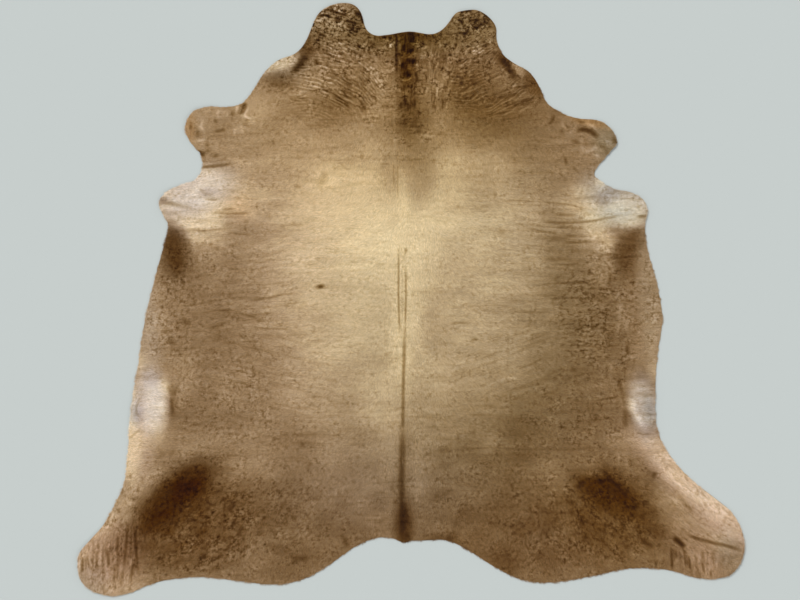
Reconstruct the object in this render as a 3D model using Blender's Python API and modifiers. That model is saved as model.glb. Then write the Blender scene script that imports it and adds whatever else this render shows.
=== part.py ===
"""A cowhide with its hair on, trimmed to shape and laid out flat as a rug.

The hide is one sheet: tanned skin with the hair lying on it. It lies hair side up on the plane
z = 0, with the neck toward +Y and the tail toward -Y. Its underside is flat where it touches the
plane. The ends of the legs, the cheeks and parts of the edge curl up a few millimetres, and
shallow creases run along the spine and in from the armpits and the legs.
"""

import math
from collections import namedtuple

import bmesh
import bpy
from mathutils import Vector
from mathutils.geometry import delaunay_2d_cdt, intersect_point_line

# Driving dimensions, in metres.
HIDE_THICKNESS = 0.006  # the skin and the hair that lies on it
RIM_SHARE = 0.6  # how much of that thickness is left at the cut edge
RIM_FADE = 0.05  # width of the band over which the sheet thins toward its edge
EDGE_STEP = 0.022  # spacing of the points along the cut edge
FIELD_STEP = 0.062  # spacing of the points inside the sheet
CREASE_STEP = 0.050  # spacing of the points along a crease
CLEARANCE = 0.6  # least distance between inner points, as a share of FIELD_STEP
CURVE_PARTS = 24  # straight parts that stand for the edge's curve between two of its stations
MERGE_GAP = 1e-6  # points nearer than this become one
SHARP_ANGLE = 40  # degrees, over which two faces meet in a visible corner
HAIR_BROWN = (0.36, 0.25, 0.15, 1.0)  # linear colour of the hair side as a whole
HAIR_ROUGHNESS = 0.75

# The middle of the front edge, and the last points of the back edge beside the spine.
NECK_MIDDLE = (-0.004, 0.937)
TAIL_RIGHT = (0.005, -0.8445)
TAIL_POINT = (-0.031, -0.851)

EdgeRow = namedtuple("EdgeRow", "place left_x left_y right_x right_y")
# Where the cut edge turns, from the neck down both sides to the tail.
EDGE_ROWS = (
    EdgeRow("neck edge", -0.085, 0.925, 0.075, 0.928),
    EdgeRow("cheek root", -0.126, 0.924, 0.108, 0.942),
    EdgeRow("cheek, inner side", -0.156, 0.946, 0.134, 0.970),
    EdgeRow("cheek, inner corner", -0.173, 1.000, 0.158, 1.001),
    EdgeRow("cheek top, inner", -0.196, 1.028, 0.190, 1.010),
    EdgeRow("cheek top", -0.240, 1.036, 0.232, 1.011),
    EdgeRow("cheek top, outer", -0.293, 1.022, 0.272, 0.988),
    EdgeRow("cheek, outer corner", -0.324, 0.997, 0.297, 0.955),
    EdgeRow("cheek, outer side", -0.346, 0.952, 0.301, 0.905),
    EdgeRow("cheek foot", -0.373, 0.892, 0.320, 0.860),
    EdgeRow("throat", -0.406, 0.859, 0.360, 0.827),
    EdgeRow("jaw line", -0.460, 0.838, 0.412, 0.797),
    EdgeRow("neck side", -0.505, 0.801, 0.446, 0.752),
    EdgeRow("neck foot", -0.545, 0.739, 0.468, 0.698),
    EdgeRow("shoulder point", -0.584, 0.688, 0.515, 0.657),
    EdgeRow("foreleg root", -0.640, 0.672, 0.580, 0.634),
    EdgeRow("foreleg top", -0.710, 0.672, 0.655, 0.625),
    EdgeRow("foreleg corner", -0.765, 0.650, 0.697, 0.598),
    EdgeRow("foreleg end", -0.788, 0.600, 0.720, 0.550),
    EdgeRow("foreleg underside", -0.766, 0.544, 0.690, 0.508),
    EdgeRow("armpit mouth", -0.738, 0.514, 0.656, 0.468),
    EdgeRow("armpit", -0.727, 0.462, 0.641, 0.436),
    EdgeRow("armpit, lower side", -0.757, 0.416, 0.662, 0.415),
    EdgeRow("brisket flap root", -0.805, 0.398, 0.705, 0.388),
    EdgeRow("brisket flap top", -0.852, 0.376, 0.768, 0.374),
    EdgeRow("brisket flap end", -0.880, 0.336, 0.816, 0.344),
    EdgeRow("brisket flap underside", -0.866, 0.300, 0.825, 0.310),
    EdgeRow("girth, top", -0.848, 0.258, 0.818, 0.260),
    EdgeRow("girth, upper", -0.858, 0.205, 0.823, 0.196),
    EdgeRow("girth", -0.882, 0.120, 0.848, 0.100),
    EdgeRow("belly, upper", -0.912, 0.000, 0.872, 0.000),
    EdgeRow("belly", -0.936, -0.110, 0.879, -0.075),
    EdgeRow("belly, lower", -0.950, -0.215, 0.861, -0.205),
    EdgeRow("flank, upper", -0.968, -0.320, 0.855, -0.320),
    EdgeRow("flank", -0.982, -0.440, 0.857, -0.430),
    EdgeRow("flank, lower", -0.991, -0.560, 0.882, -0.508),
    EdgeRow("thigh front", -1.003, -0.645, 0.932, -0.580),
    EdgeRow("thigh", -1.032, -0.712, 0.996, -0.644),
    EdgeRow("stifle", -1.072, -0.785, 1.070, -0.700),
    EdgeRow("shank", -1.125, -0.846, 1.124, -0.747),
    EdgeRow("shank corner", -1.157, -0.886, 1.153, -0.800),
    EdgeRow("hock", -1.164, -0.930, 1.166, -0.860),
    EdgeRow("hock corner", -1.150, -0.988, 1.156, -0.912),
    EdgeRow("hind leg end", -1.108, -1.022, 1.124, -0.958),
    EdgeRow("hind leg end, inner", -1.045, -1.037, 1.070, -0.977),
    EdgeRow("hind leg, back", -0.980, -1.026, 0.990, -0.972),
    EdgeRow("hind leg root, back", -0.920, -1.000, 0.920, -0.951),
    EdgeRow("thigh back, outer", -0.840, -0.980, 0.830, -0.940),
    EdgeRow("thigh back, inner", -0.740, -0.971, 0.745, -0.944),
    EdgeRow("buttock, outer", -0.620, -0.983, 0.640, -0.967),
    EdgeRow("buttock", -0.480, -0.997, 0.480, -0.991),
    EdgeRow("buttock, inner", -0.385, -0.982, 0.385, -0.979),
    EdgeRow("rump edge", -0.290, -0.932, 0.290, -0.934),
    EdgeRow("rump", -0.190, -0.863, 0.185, -0.868),
    EdgeRow("tail side", -0.115, -0.834, 0.118, -0.842),
    EdgeRow("tail root", -0.055, -0.838, 0.060, -0.843),
)

Crease = namedtuple("Crease", "place start_x start_y end_x end_y half_width share_left")
# Soft troughs in the upper face: the share of the sheet's thickness left at the bottom of each.
CREASES = (
    Crease("spine", -0.028, 0.150, -0.030, -0.800, 0.022, 0.70),
    Crease("left armpit", -0.740, 0.290, -0.380, 0.285, 0.018, 0.80),
    Crease("right armpit", 0.700, 0.290, 0.380, 0.270, 0.018, 0.80),
    Crease("right hind leg", 1.120, -0.868, 0.960, -0.835, 0.016, 0.75),
)

Curl = namedtuple("Curl", "place x y radius height")
# Where the sheet lifts off the plane toward its edge, by height at the row's own point.
CURLS = (
    Curl("left cheek", -0.250, 1.040, 0.140, 0.0060),
    Curl("right cheek", 0.225, 1.015, 0.120, 0.0050),
    Curl("left foreleg end", -0.790, 0.610, 0.160, 0.0070),
    Curl("right foreleg end", 0.722, 0.555, 0.150, 0.0060),
    Curl("left brisket flap", -0.885, 0.340, 0.120, 0.0060),
    Curl("right brisket flap", 0.830, 0.325, 0.120, 0.0070),
    Curl("left flank", -0.985, -0.400, 0.150, 0.0045),
    Curl("right flank", 0.865, -0.370, 0.140, 0.0045),
    Curl("left hind leg end", -1.165, -0.950, 0.240, 0.0080),
    Curl("right hind leg end", 1.170, -0.880, 0.240, 0.0080),
)


def smooth_loop(stations, step):
    """Points every step along a closed centripetal Catmull-Rom curve through the stations."""
    fine = []
    count = len(stations)
    for index in range(count):
        p0, p1, p2, p3 = (stations[(index + offset) % count] for offset in (-1, 0, 1, 2))
        t1 = math.sqrt((p1 - p0).length)
        t2 = t1 + math.sqrt((p2 - p1).length)
        t3 = t2 + math.sqrt((p3 - p2).length)
        for part in range(CURVE_PARTS):
            t = t1 + (t2 - t1) * part / CURVE_PARTS
            a1 = p0.lerp(p1, t / t1)
            a2 = p1.lerp(p2, (t - t1) / (t2 - t1))
            a3 = p2.lerp(p3, (t - t2) / (t3 - t2))
            b1 = a1.lerp(a2, t / t2)
            b2 = a2.lerp(a3, (t - t1) / (t3 - t1))
            fine.append(b1.lerp(b2, (t - t1) / (t2 - t1)))
    return even_points(fine + fine[:1], step)[:-1]


def even_points(path, step):
    """The path read again at equal spacing of about step, from its first point to its last."""
    reach = [0.0]
    for before, after in zip(path, path[1:]):
        reach.append(reach[-1] + (after - before).length)
    parts = max(1, round(reach[-1] / step))
    points = []
    index = 0
    for part in range(parts + 1):
        target = reach[-1] * part / parts
        while index < len(path) - 2 and reach[index + 1] < target:
            index += 1
        span = reach[index + 1] - reach[index]
        points.append(path[index].lerp(path[index + 1], (target - reach[index]) / span))
    return points


def cut_edge():
    """The hide's outline, clockwise from the neck."""
    right_side = [Vector((row.right_x, row.right_y)) for row in EDGE_ROWS]
    left_side = [Vector((row.left_x, row.left_y)) for row in reversed(EDGE_ROWS)]
    tail = [Vector(TAIL_RIGHT), Vector(TAIL_POINT)]
    return smooth_loop([Vector(NECK_MIDDLE)] + right_side + tail + left_side, EDGE_STEP)


def box_centre(points):
    """The middle of the points' bounding box."""
    xs = [point.x for point in points]
    ys = [point.y for point in points]
    return Vector(((min(xs) + max(xs)) / 2, (min(ys) + max(ys)) / 2))


def crease_ends(crease):
    """The start and the end of a crease's bottom line."""
    return Vector((crease.start_x, crease.start_y)), Vector((crease.end_x, crease.end_y))


def crease_lines():
    """Three rows of points for each crease: its bottom and the two lines where it starts."""
    lines = []
    for crease in CREASES:
        start, end = crease_ends(crease)
        side = (end - start).orthogonal().normalized() * crease.half_width
        for shift in (-1, 0, 1):
            lines.append(even_points([start + side * shift, end + side * shift], CREASE_STEP))
    return lines


def distance_to_run(point, start, end):
    """The distance from the point to the straight run between start and end."""
    nearest, along = intersect_point_line(point, start, end)
    if along < 0:
        return (point - start).length
    if along > 1:
        return (point - end).length
    return (point - nearest.to_2d()).length


def distance_to_edge(point, edge):
    """The distance from the point to the closed outline."""
    return min(distance_to_run(point, edge[i - 1], edge[i]) for i in range(len(edge)))


def is_inside(point, edge):
    """Whether the point lies inside the closed outline."""
    inside = False
    for before, after in zip(edge[-1:] + edge[:-1], edge):
        if (before.y > point.y) != (after.y > point.y):
            along = (point.y - before.y) / (after.y - before.y)
            if point.x < before.x + along * (after.x - before.x):
                inside = not inside
    return inside


def field_points(edge, taken):
    """A staggered field of points inside the outline, clear of it and of the points taken."""
    gap = FIELD_STEP * CLEARANCE
    row_step = FIELD_STEP * math.sqrt(3) / 2
    low = Vector((min(p.x for p in edge), min(p.y for p in edge)))
    high = Vector((max(p.x for p in edge), max(p.y for p in edge)))
    points = []
    for row in range(int((high.y - low.y) / row_step) + 1):
        offset = FIELD_STEP / 2 if row % 2 else 0.0
        for column in range(int((high.x - low.x) / FIELD_STEP) + 1):
            point = low + Vector((column * FIELD_STEP + offset, row * row_step))
            if not is_inside(point, edge) or distance_to_edge(point, edge) < gap:
                continue
            if all((point - other).length > gap for other in taken):
                points.append(point)
    return points


def smooth_step(value):
    """0 up to 0, 1 from 1, with a soft rise between them."""
    value = min(max(value, 0.0), 1.0)
    return value * value * (3 - 2 * value)


def lift(point):
    """How far the underside stands above the plane at a point."""
    height = 0.0
    for curl in CURLS:
        away = (point - Vector((curl.x, curl.y))).length
        height = max(height, curl.height * smooth_step(1 - away / curl.radius))
    return height


def thickness_share(point, edge):
    """The share of the hide's full thickness at a point: less in a crease and at the edge."""
    share = RIM_SHARE + (1 - RIM_SHARE) * smooth_step(distance_to_edge(point, edge) / RIM_FADE)
    for crease in CREASES:
        away = distance_to_run(point, *crease_ends(crease)) / crease.half_width
        share *= crease.share_left + (1 - crease.share_left) * smooth_step(away)
    return share


def sheet_mesh(edge, centre):
    """The hide's underside as an open mesh inside the outline, with its curls.

    Returns the mesh, centred in x and y, and each point's share of the full thickness.
    """
    lines = crease_lines()
    points = list(edge) + [point for line in lines for point in line]
    count = len(edge)
    runs = [(i, (i + 1) % count) for i in range(count)]
    first = count
    for line in lines:
        runs += [(first + i, first + i + 1) for i in range(len(line) - 1)]
        first += len(line)
    points += field_points(edge, points)
    flat, _, faces, *_ = delaunay_2d_cdt(points, runs, [list(range(count))], 1, MERGE_GAP)
    mesh = bpy.data.meshes.new("hide")
    mesh.from_pydata([(*(p - centre), lift(p)) for p in flat], [], faces)
    sheet = bmesh.new()
    sheet.from_mesh(mesh)
    bmesh.ops.recalc_face_normals(sheet, faces=sheet.faces)
    if sum(face.normal.z for face in sheet.faces) < 0:
        bmesh.ops.reverse_faces(sheet, faces=sheet.faces)
    sheet.to_mesh(mesh)
    sheet.free()
    return mesh, [thickness_share(p, edge) for p in flat]


def hair_leather():
    """The material of the hide: light brown hair on leather."""
    material = bpy.data.materials.new("hair_on_leather")
    material.use_nodes = True
    shader = material.node_tree.nodes["Principled BSDF"]
    shader.inputs["Base Color"].default_value = HAIR_BROWN
    shader.inputs["Roughness"].default_value = HAIR_ROUGHNESS
    shader.inputs["Metallic"].default_value = 0.0
    return material


def make_hide(collection):
    """Adds the hide to the collection, with its box centred on the origin and its base at z = 0."""
    edge = cut_edge()
    mesh, shares = sheet_mesh(edge, box_centre(edge))
    hide = bpy.data.objects.new("hide", mesh)
    collection.objects.link(hide)
    mesh.materials.append(hair_leather())
    body = hide.vertex_groups.new(name="thickness")
    for index, share in enumerate(shares):
        body.add([index], share, "REPLACE")
    solidify = hide.modifiers.new("thickness", "SOLIDIFY")
    solidify.thickness = HIDE_THICKNESS
    solidify.offset = 1.0
    solidify.vertex_group = body.name
    mesh.shade_smooth()
    mesh.set_sharp_from_angle(angle=math.radians(SHARP_ANGLE))
    return hide


def main():
    """Clears the scene and models the hide in a collection of its own."""
    for leftover in list(bpy.data.objects):
        bpy.data.objects.remove(leftover, do_unlink=True)
    collection = bpy.data.collections.new("cowhide")
    bpy.context.scene.collection.children.link(collection)
    make_hide(collection)


main()
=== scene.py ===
"""The looks of a cowhide rug: the tanned skin, the hair on it and a plain studio round it.

The neck is toward +Y and the tail toward -Y. Sizes are in metres, apart from those in the tables of
the coat and the hair, which are in millimetres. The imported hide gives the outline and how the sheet
lies. The skin is one closed sheet inside it. The hair is modelled strand by strand, in four piles
from the neck to the rump, and each strand takes its colour, its length and its direction from the
tables, which say where the coat is pale, dark, crimped or creased.
"""

import logging
import math
from dataclasses import dataclass, field
from enum import Enum
from functools import reduce
from typing import NamedTuple

import bmesh
import bpy
import numpy as np
from bpy.types import ID, Material, Mesh, Node, Object
from bpy.types import NodeSocket as Socket
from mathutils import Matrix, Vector
from mathutils.bvhtree import BVHTree
from mathutils.geometry import delaunay_2d_cdt
from mathutils.kdtree import KDTree

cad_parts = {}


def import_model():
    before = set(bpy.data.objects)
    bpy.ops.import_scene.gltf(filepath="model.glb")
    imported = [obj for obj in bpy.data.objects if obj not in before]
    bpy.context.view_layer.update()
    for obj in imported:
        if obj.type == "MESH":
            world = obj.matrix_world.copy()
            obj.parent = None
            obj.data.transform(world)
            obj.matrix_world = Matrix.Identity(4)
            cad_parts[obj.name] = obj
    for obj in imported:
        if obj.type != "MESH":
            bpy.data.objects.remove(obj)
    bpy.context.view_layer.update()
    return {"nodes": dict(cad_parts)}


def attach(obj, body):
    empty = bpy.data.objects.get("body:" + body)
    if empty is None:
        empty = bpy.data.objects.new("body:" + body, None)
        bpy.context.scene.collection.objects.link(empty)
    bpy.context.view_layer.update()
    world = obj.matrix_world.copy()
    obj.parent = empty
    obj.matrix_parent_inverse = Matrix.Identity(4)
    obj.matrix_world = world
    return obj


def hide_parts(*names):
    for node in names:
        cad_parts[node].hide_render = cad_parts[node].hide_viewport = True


LOG = logging.getLogger("cowhide")
BODY = "root"
NODE = "hide"
HEX_ROW = math.sqrt(3) / 2  # spacing of the rows of a staggered field, by its point spacing
UP = Vector((0.0, 0.0, 1.0))
MM = 0.001  # the tables of the coat and the hair are in millimetres
FAR = 99.0  # a distance that is clear of every line, in half widths
LINE_REACH = 2.0  # where a line's soft sides end, in half widths
ON_EDGE = 0.5  # an oval's share at its edge
WHITE = (1.0, 1.0, 1.0, 1.0)

# The display's curve: a straight toe, then a power.
TOE_END, TOE_SLOPE, CURVE_OFFSET, CURVE_POWER = 0.04045, 12.92, 0.055, 2.4

Floats = np.ndarray
Colour = tuple[float, float, float]
Place = tuple[float, float]
Span = tuple[float, float]  # the lowest and the highest of a range
Path = tuple[int, ...]  # x, y, x, y and so on in millimetres


def smooth_step(share: Floats) -> Floats:
    """0 up to 0, 1 from 1, with a soft rise between them."""
    share = np.clip(share, 0.0, 1.0)
    return share * share * (3 - 2 * share)


def turned(x: Floats, y: Floats, degrees: float) -> tuple[Floats, Floats]:
    """How far places are along a direction, given anticlockwise from +X, and to the left of it."""
    cos, sin = math.cos(math.radians(degrees)), math.sin(math.radians(degrees))
    return x * cos + y * sin, y * cos - x * sin


def linear(display: Floats) -> Floats:
    """Display colour values from 0 to 1 as light values."""
    curve = ((np.clip(display, 0.0, 1.0) + CURVE_OFFSET) / (1 + CURVE_OFFSET)) ** CURVE_POWER
    return np.where(display < TOE_END, np.maximum(display, 0.0) / TOE_SLOPE, curve)


@dataclass(frozen=True)
class Oval:
    """A soft-edged oval area of the hide in millimetres, turned anticlockwise in degrees."""

    x: float
    y: float
    half_width: float
    half_height: float
    turn: float
    soft: float

    def reach(self, x: Floats, y: Floats) -> tuple[Floats, Floats]:
        """The points that the oval touches.

        Args:
            x, y: the points' places.

        Returns:
            The points' indices, and the oval's share at each from 0 to 1.
        """
        x, y = x / MM, y / MM
        span = max(self.half_width, self.half_height) * (1 + self.soft)
        found = np.flatnonzero((np.abs(x - self.x) < span) & (np.abs(y - self.y) < span))
        across, along = turned(x[found] - self.x, y[found] - self.y, self.turn)
        away = np.hypot(across / self.half_width, along / self.half_height)
        return found, smooth_step((1 + self.soft - away) / (2 * self.soft))


@dataclass(frozen=True)
class Run:
    """A line of a few points with soft sides, which thins out toward both ends."""

    points: Path
    half_width: float  # in millimetres
    taper: float = 0.25  # the share of its length over which each end fades

    MARGIN = 0.020  # how far past its soft sides a line still gives its distance
    END_START = 0.15  # how far along its rise a line's strength begins

    def near(self, x: Floats, y: Floats) -> tuple[Floats, Floats, Floats]:
        """The points near the line.

        Args:
            x, y: the points' places.

        Returns:
            The points' indices, how far each is from the line in half widths, positive to the left
            of its direction, and how strong the line is there from 0 to 1.
        """
        path = MM * np.array(self.points).reshape(-1, 2)
        half_width = MM * self.half_width
        span = LINE_REACH * half_width + self.MARGIN
        low, high = path.min(0) - span, path.max(0) + span
        found = np.flatnonzero((x > low[0]) & (x < high[0]) & (y > low[1]) & (y < high[1]))
        place = np.stack([x[found], y[found]], axis=1)
        lengths = np.hypot(*np.diff(path, axis=0).T)
        nearest = np.full(len(found), np.inf)
        along, side = np.zeros(len(found)), np.zeros(len(found))
        for index, length in enumerate(lengths):
            ahead = (path[index + 1] - path[index]) / length
            away = place - path[index]
            share = np.clip(away @ ahead, 0, length)
            gap = away - share[:, None] * ahead
            distance = np.hypot(gap[:, 0], gap[:, 1])
            closer = distance < nearest
            nearest = np.where(closer, distance, nearest)
            along = np.where(closer, lengths[:index].sum() + share, along)
            side = np.where(closer, ahead[0] * gap[:, 1] - ahead[1] * gap[:, 0], side)
        total = lengths.sum()
        rise = np.minimum(along, total - along) / (self.taper * total) + self.END_START
        return found, np.copysign(nearest, side) / half_width, smooth_step(rise)


@dataclass(frozen=True)
class Noise:
    """Smooth seeded noise with a spread of about 1, stretched along a direction in degrees."""

    seed: int
    length: float
    width: float
    turn: float = 0.0
    octaves: int = 2

    SIDE = 256  # random numbers along each side of a lattice
    SPREAD = 1.15  # brings two octaves to a spread of 1
    NEXT_SEED, FAINTER, FINER, TURNED = 97, 0.6, 1.9, 9.0  # from one octave to the next
    CORNER = (71.3, 38.9)  # the lattice's place at the middle of the hide

    def at(self, x: Floats, y: Floats) -> Floats:
        """The noise at some points."""
        octaves = range(self.octaves)
        return self.SPREAD * sum(self._layer(x, y, step) * self.FAINTER**step for step in octaves)

    def _layer(self, x: Floats, y: Floats, octave: int) -> Floats:
        """One lattice of random numbers, read smoothly.

        Args:
            x, y: the points' places.
            octave: which lattice it is; each is finer than the one before, and turned.

        Returns:
            A value for each point.
        """
        random = np.random.default_rng(self.seed + self.NEXT_SEED * octave)
        lattice = random.standard_normal((self.SIDE, self.SIDE))
        finer = self.FINER**octave
        across, along = turned(x, y, self.turn + self.TURNED * octave)
        across = across * finer / self.length + self.CORNER[0]
        along = along * finer / self.width + self.CORNER[1]
        column, row = np.floor(across).astype(int), np.floor(along).astype(int)
        part_x, part_y = smooth_step(across - column), smooth_step(along - row)
        column, row = column % self.SIDE, row % self.SIDE
        right, above = (column + 1) % self.SIDE, (row + 1) % self.SIDE
        low = lattice[row, column] * (1 - part_x) + lattice[row, right] * part_x
        high = lattice[above, column] * (1 - part_x) + lattice[above, right] * part_x
        return low * (1 - part_y) + high * part_y


@dataclass
class Grid:
    """Values at even steps over the hide, read smoothly between them."""

    low: Place
    step: float
    values: Floats  # a row for each step in y

    BORDER = 1.001  # keeps a point on the far border inside the last cell

    def at(self, x: Floats, y: Floats) -> Floats:
        """The value at some points; those off the grid have the value at its border.

        Args:
            x, y: the points' places.

        Returns:
            A value for each point.
        """
        rows, columns = self.values.shape
        across = np.clip((x - self.low[0]) / self.step, 0, columns - self.BORDER)
        along = np.clip((y - self.low[1]) / self.step, 0, rows - self.BORDER)
        column, row = across.astype(int), along.astype(int)
        part_x, part_y = across - column, along - row
        low, high = (
            self.values[line, column] * (1 - part_x) + self.values[line, column + 1] * part_x
            for line in (row, row + 1)
        )
        return low * (1 - part_y) + high * part_y


@dataclass
class HideFrame:
    """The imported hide, read once: its outline, the distance to it and how it lies."""

    node: Object
    rim_parts: int = 5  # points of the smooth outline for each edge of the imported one
    fine_parts: int = 25  # and of the finer outline that distances are measured from
    distance_step: float = 0.004
    lift_step: float = 0.012
    margin: float = 0.030  # how far the grids go beyond the outline
    weld: float = 1e-5  # corners nearer than this are one
    smoothings: int = 4  # how many times the lift is evened out
    outline: Floats = field(init=False)
    distance: Grid = field(init=False)
    lift: Grid = field(init=False)

    UNDERSIDE = -0.5  # faces whose normal rises less than this belong to the underside
    BELOW_ALL = -0.1  # a height that is under the whole hide

    def __post_init__(self) -> None:
        """Reads the outline and fills both grids."""
        solid = bmesh.new()
        solid.from_mesh(self.node.data)
        bmesh.ops.remove_doubles(solid, verts=solid.verts, dist=self.weld)
        solid.normal_update()
        rim = self._rim(solid)
        self.outline = self._rounded(rim, self.rim_parts)
        self.distance = self._distance(self._rounded(rim, self.fine_parts))
        self.lift = self._lift(BVHTree.FromBMesh(solid))
        solid.free()

    def inside(self, x: Floats, y: Floats) -> Floats:
        """How far each point is inside the outline; it is negative outside."""
        return self.distance.at(x, y)

    def _rim(self, solid: bmesh.types.BMesh) -> Floats:
        """The edge of the underside.

        Args:
            solid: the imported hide.

        Returns:
            The edge's points in order, anticlockwise.
        """
        under = {face for face in solid.faces if face.normal.z < self.UNDERSIDE}
        beside: dict[int, list[int]] = {}
        for edge in solid.edges:
            if sum(face in under for face in edge.link_faces) == 1:
                first, second = (corner.index for corner in edge.verts)
                beside.setdefault(first, []).append(second)
                beside.setdefault(second, []).append(first)
        solid.verts.ensure_lookup_table()
        start = min(beside)
        order = [start, beside[start][0]]
        while order[-1] != start:
            order.append(next(other for other in beside[order[-1]] if other != order[-2]))
        rim = np.array([solid.verts[index].co.xy for index in order[:-1]])
        x, y = rim.T
        turned = (x * np.roll(y, -1) - y * np.roll(x, -1)).sum() < 0
        return rim[::-1] if turned else rim

    @staticmethod
    def _rounded(rim: Floats, parts: int) -> Floats:
        """A smooth closed curve through some points.

        Args:
            rim: the points in order.
            parts: how many points the curve has for each of them.

        Returns:
            The curve's points.
        """
        before, after, beyond = np.roll(rim, 1, 0), np.roll(rim, -1, 0), np.roll(rim, -2, 0)
        once, twice = after - before, 2 * before - 5 * rim + 4 * after - beyond
        thrice = 3 * rim - before - 3 * after + beyond
        steps = np.arange(parts) / parts
        curve = [0.5 * (2 * rim + once * t + twice * t**2 + thrice * t**3) for t in steps]
        return np.stack(curve, axis=1).reshape(-1, 2)

    def _steps(self, step: float) -> tuple[Place, Floats, Floats]:
        """The lines of a grid over the hide.

        Args:
            step: its spacing.

        Returns:
            Its lowest corner, and the places of its columns and rows.
        """
        low, high = self.outline.min(0) - self.margin, self.outline.max(0) + self.margin
        columns, rows = (np.arange(low[axis], high[axis] + step, step) for axis in (0, 1))
        return (low[0], low[1]), columns, rows

    def _distance(self, fine: Floats) -> Grid:
        """The distance inside the outline, negative outside.

        Args:
            fine: the outline as finely spaced points.

        Returns:
            The grid of distances.
        """
        tree = KDTree(len(fine))
        for index, point in enumerate(fine):
            tree.insert((point[0], point[1], 0.0), index)
        tree.balance()
        low, columns, rows = self._steps(self.distance_step)
        ahead = np.roll(fine, -1, 0)
        values = np.empty((len(rows), len(columns)))
        for row, y in enumerate(rows):
            crossed = (fine[:, 1] > y) != (ahead[:, 1] > y)
            start, end = fine[crossed], ahead[crossed]
            crossings = start[:, 0] + (y - start[:, 1]) * (end - start)[:, 0] / (end - start)[:, 1]
            left = (crossings[None, :] < columns[:, None]).sum(1)
            away = np.array([tree.find((x, y, 0.0))[2] for x in columns])
            values[row] = np.where(left % 2 == 1, away, -away)
        return Grid(low, self.distance_step, values)

    def _lift(self, solid: BVHTree) -> Grid:
        """How high the underside lies, spread past the outline and smoothed.

        Args:
            solid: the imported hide's faces.

        Returns:
            The grid of heights.
        """
        low, columns, rows = self._steps(self.lift_step)
        values = np.full((len(rows), len(columns)), np.nan)
        for row, y in enumerate(rows):
            for column, x in enumerate(columns):
                hit = solid.ray_cast(Vector((x, y, self.BELOW_ALL)), UP)[0]
                if hit is not None:
                    values[row, column] = hit.z
        for _ in range(int(2 * self.margin / self.lift_step)):
            values = np.where(np.isnan(values), self._around(values), values)
        values = np.nan_to_num(values)
        for _ in range(self.smoothings):
            values = 0.5 * values + 0.5 * self._around(values)
        return Grid(low, self.lift_step, values)

    @staticmethod
    def _around(values: Floats) -> Floats:
        """The mean of each cell's known neighbours.

        Args:
            values: the cells, with nan where one isn't known.

        Returns:
            The means, with nan where no neighbour is known.
        """
        padded = np.pad(values, 1, constant_values=np.nan)
        across, along = padded[1:-1], padded[:, 1:-1]
        beside = np.stack([along[:-2], along[2:], across[:, :-2], across[:, 2:]])
        known = ~np.isnan(beside)
        count = known.sum(0)
        total = np.where(known, beside, 0.0).sum(0)
        return np.where(count > 0, total / np.maximum(count, 1), np.nan)


def rows(kind: type, *table: tuple, soft: float = 0.6) -> tuple:
    """A table's rows as their own kind.

    Args:
        kind: their kind.
        table: for each row its place, its oval's four to six values, and its other values.
        soft: how soft an oval's edge is if it doesn't say.

    Returns:
        The rows.
    """
    made, usual = [], (0.0, soft)
    for place, (x, y, half_width, half_height, *rest), *values in table:
        oval = Oval(x, y, half_width, half_height, *rest, *usual[len(rest) :])
        made.append(kind(place, oval, *values))
    return tuple(made)


class Tone(NamedTuple):
    """An area of the coat and how bright it is, from 0 for black to 255 for white."""

    place: str
    area: Oval
    tone: float
    cover: float = 0.7


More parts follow.
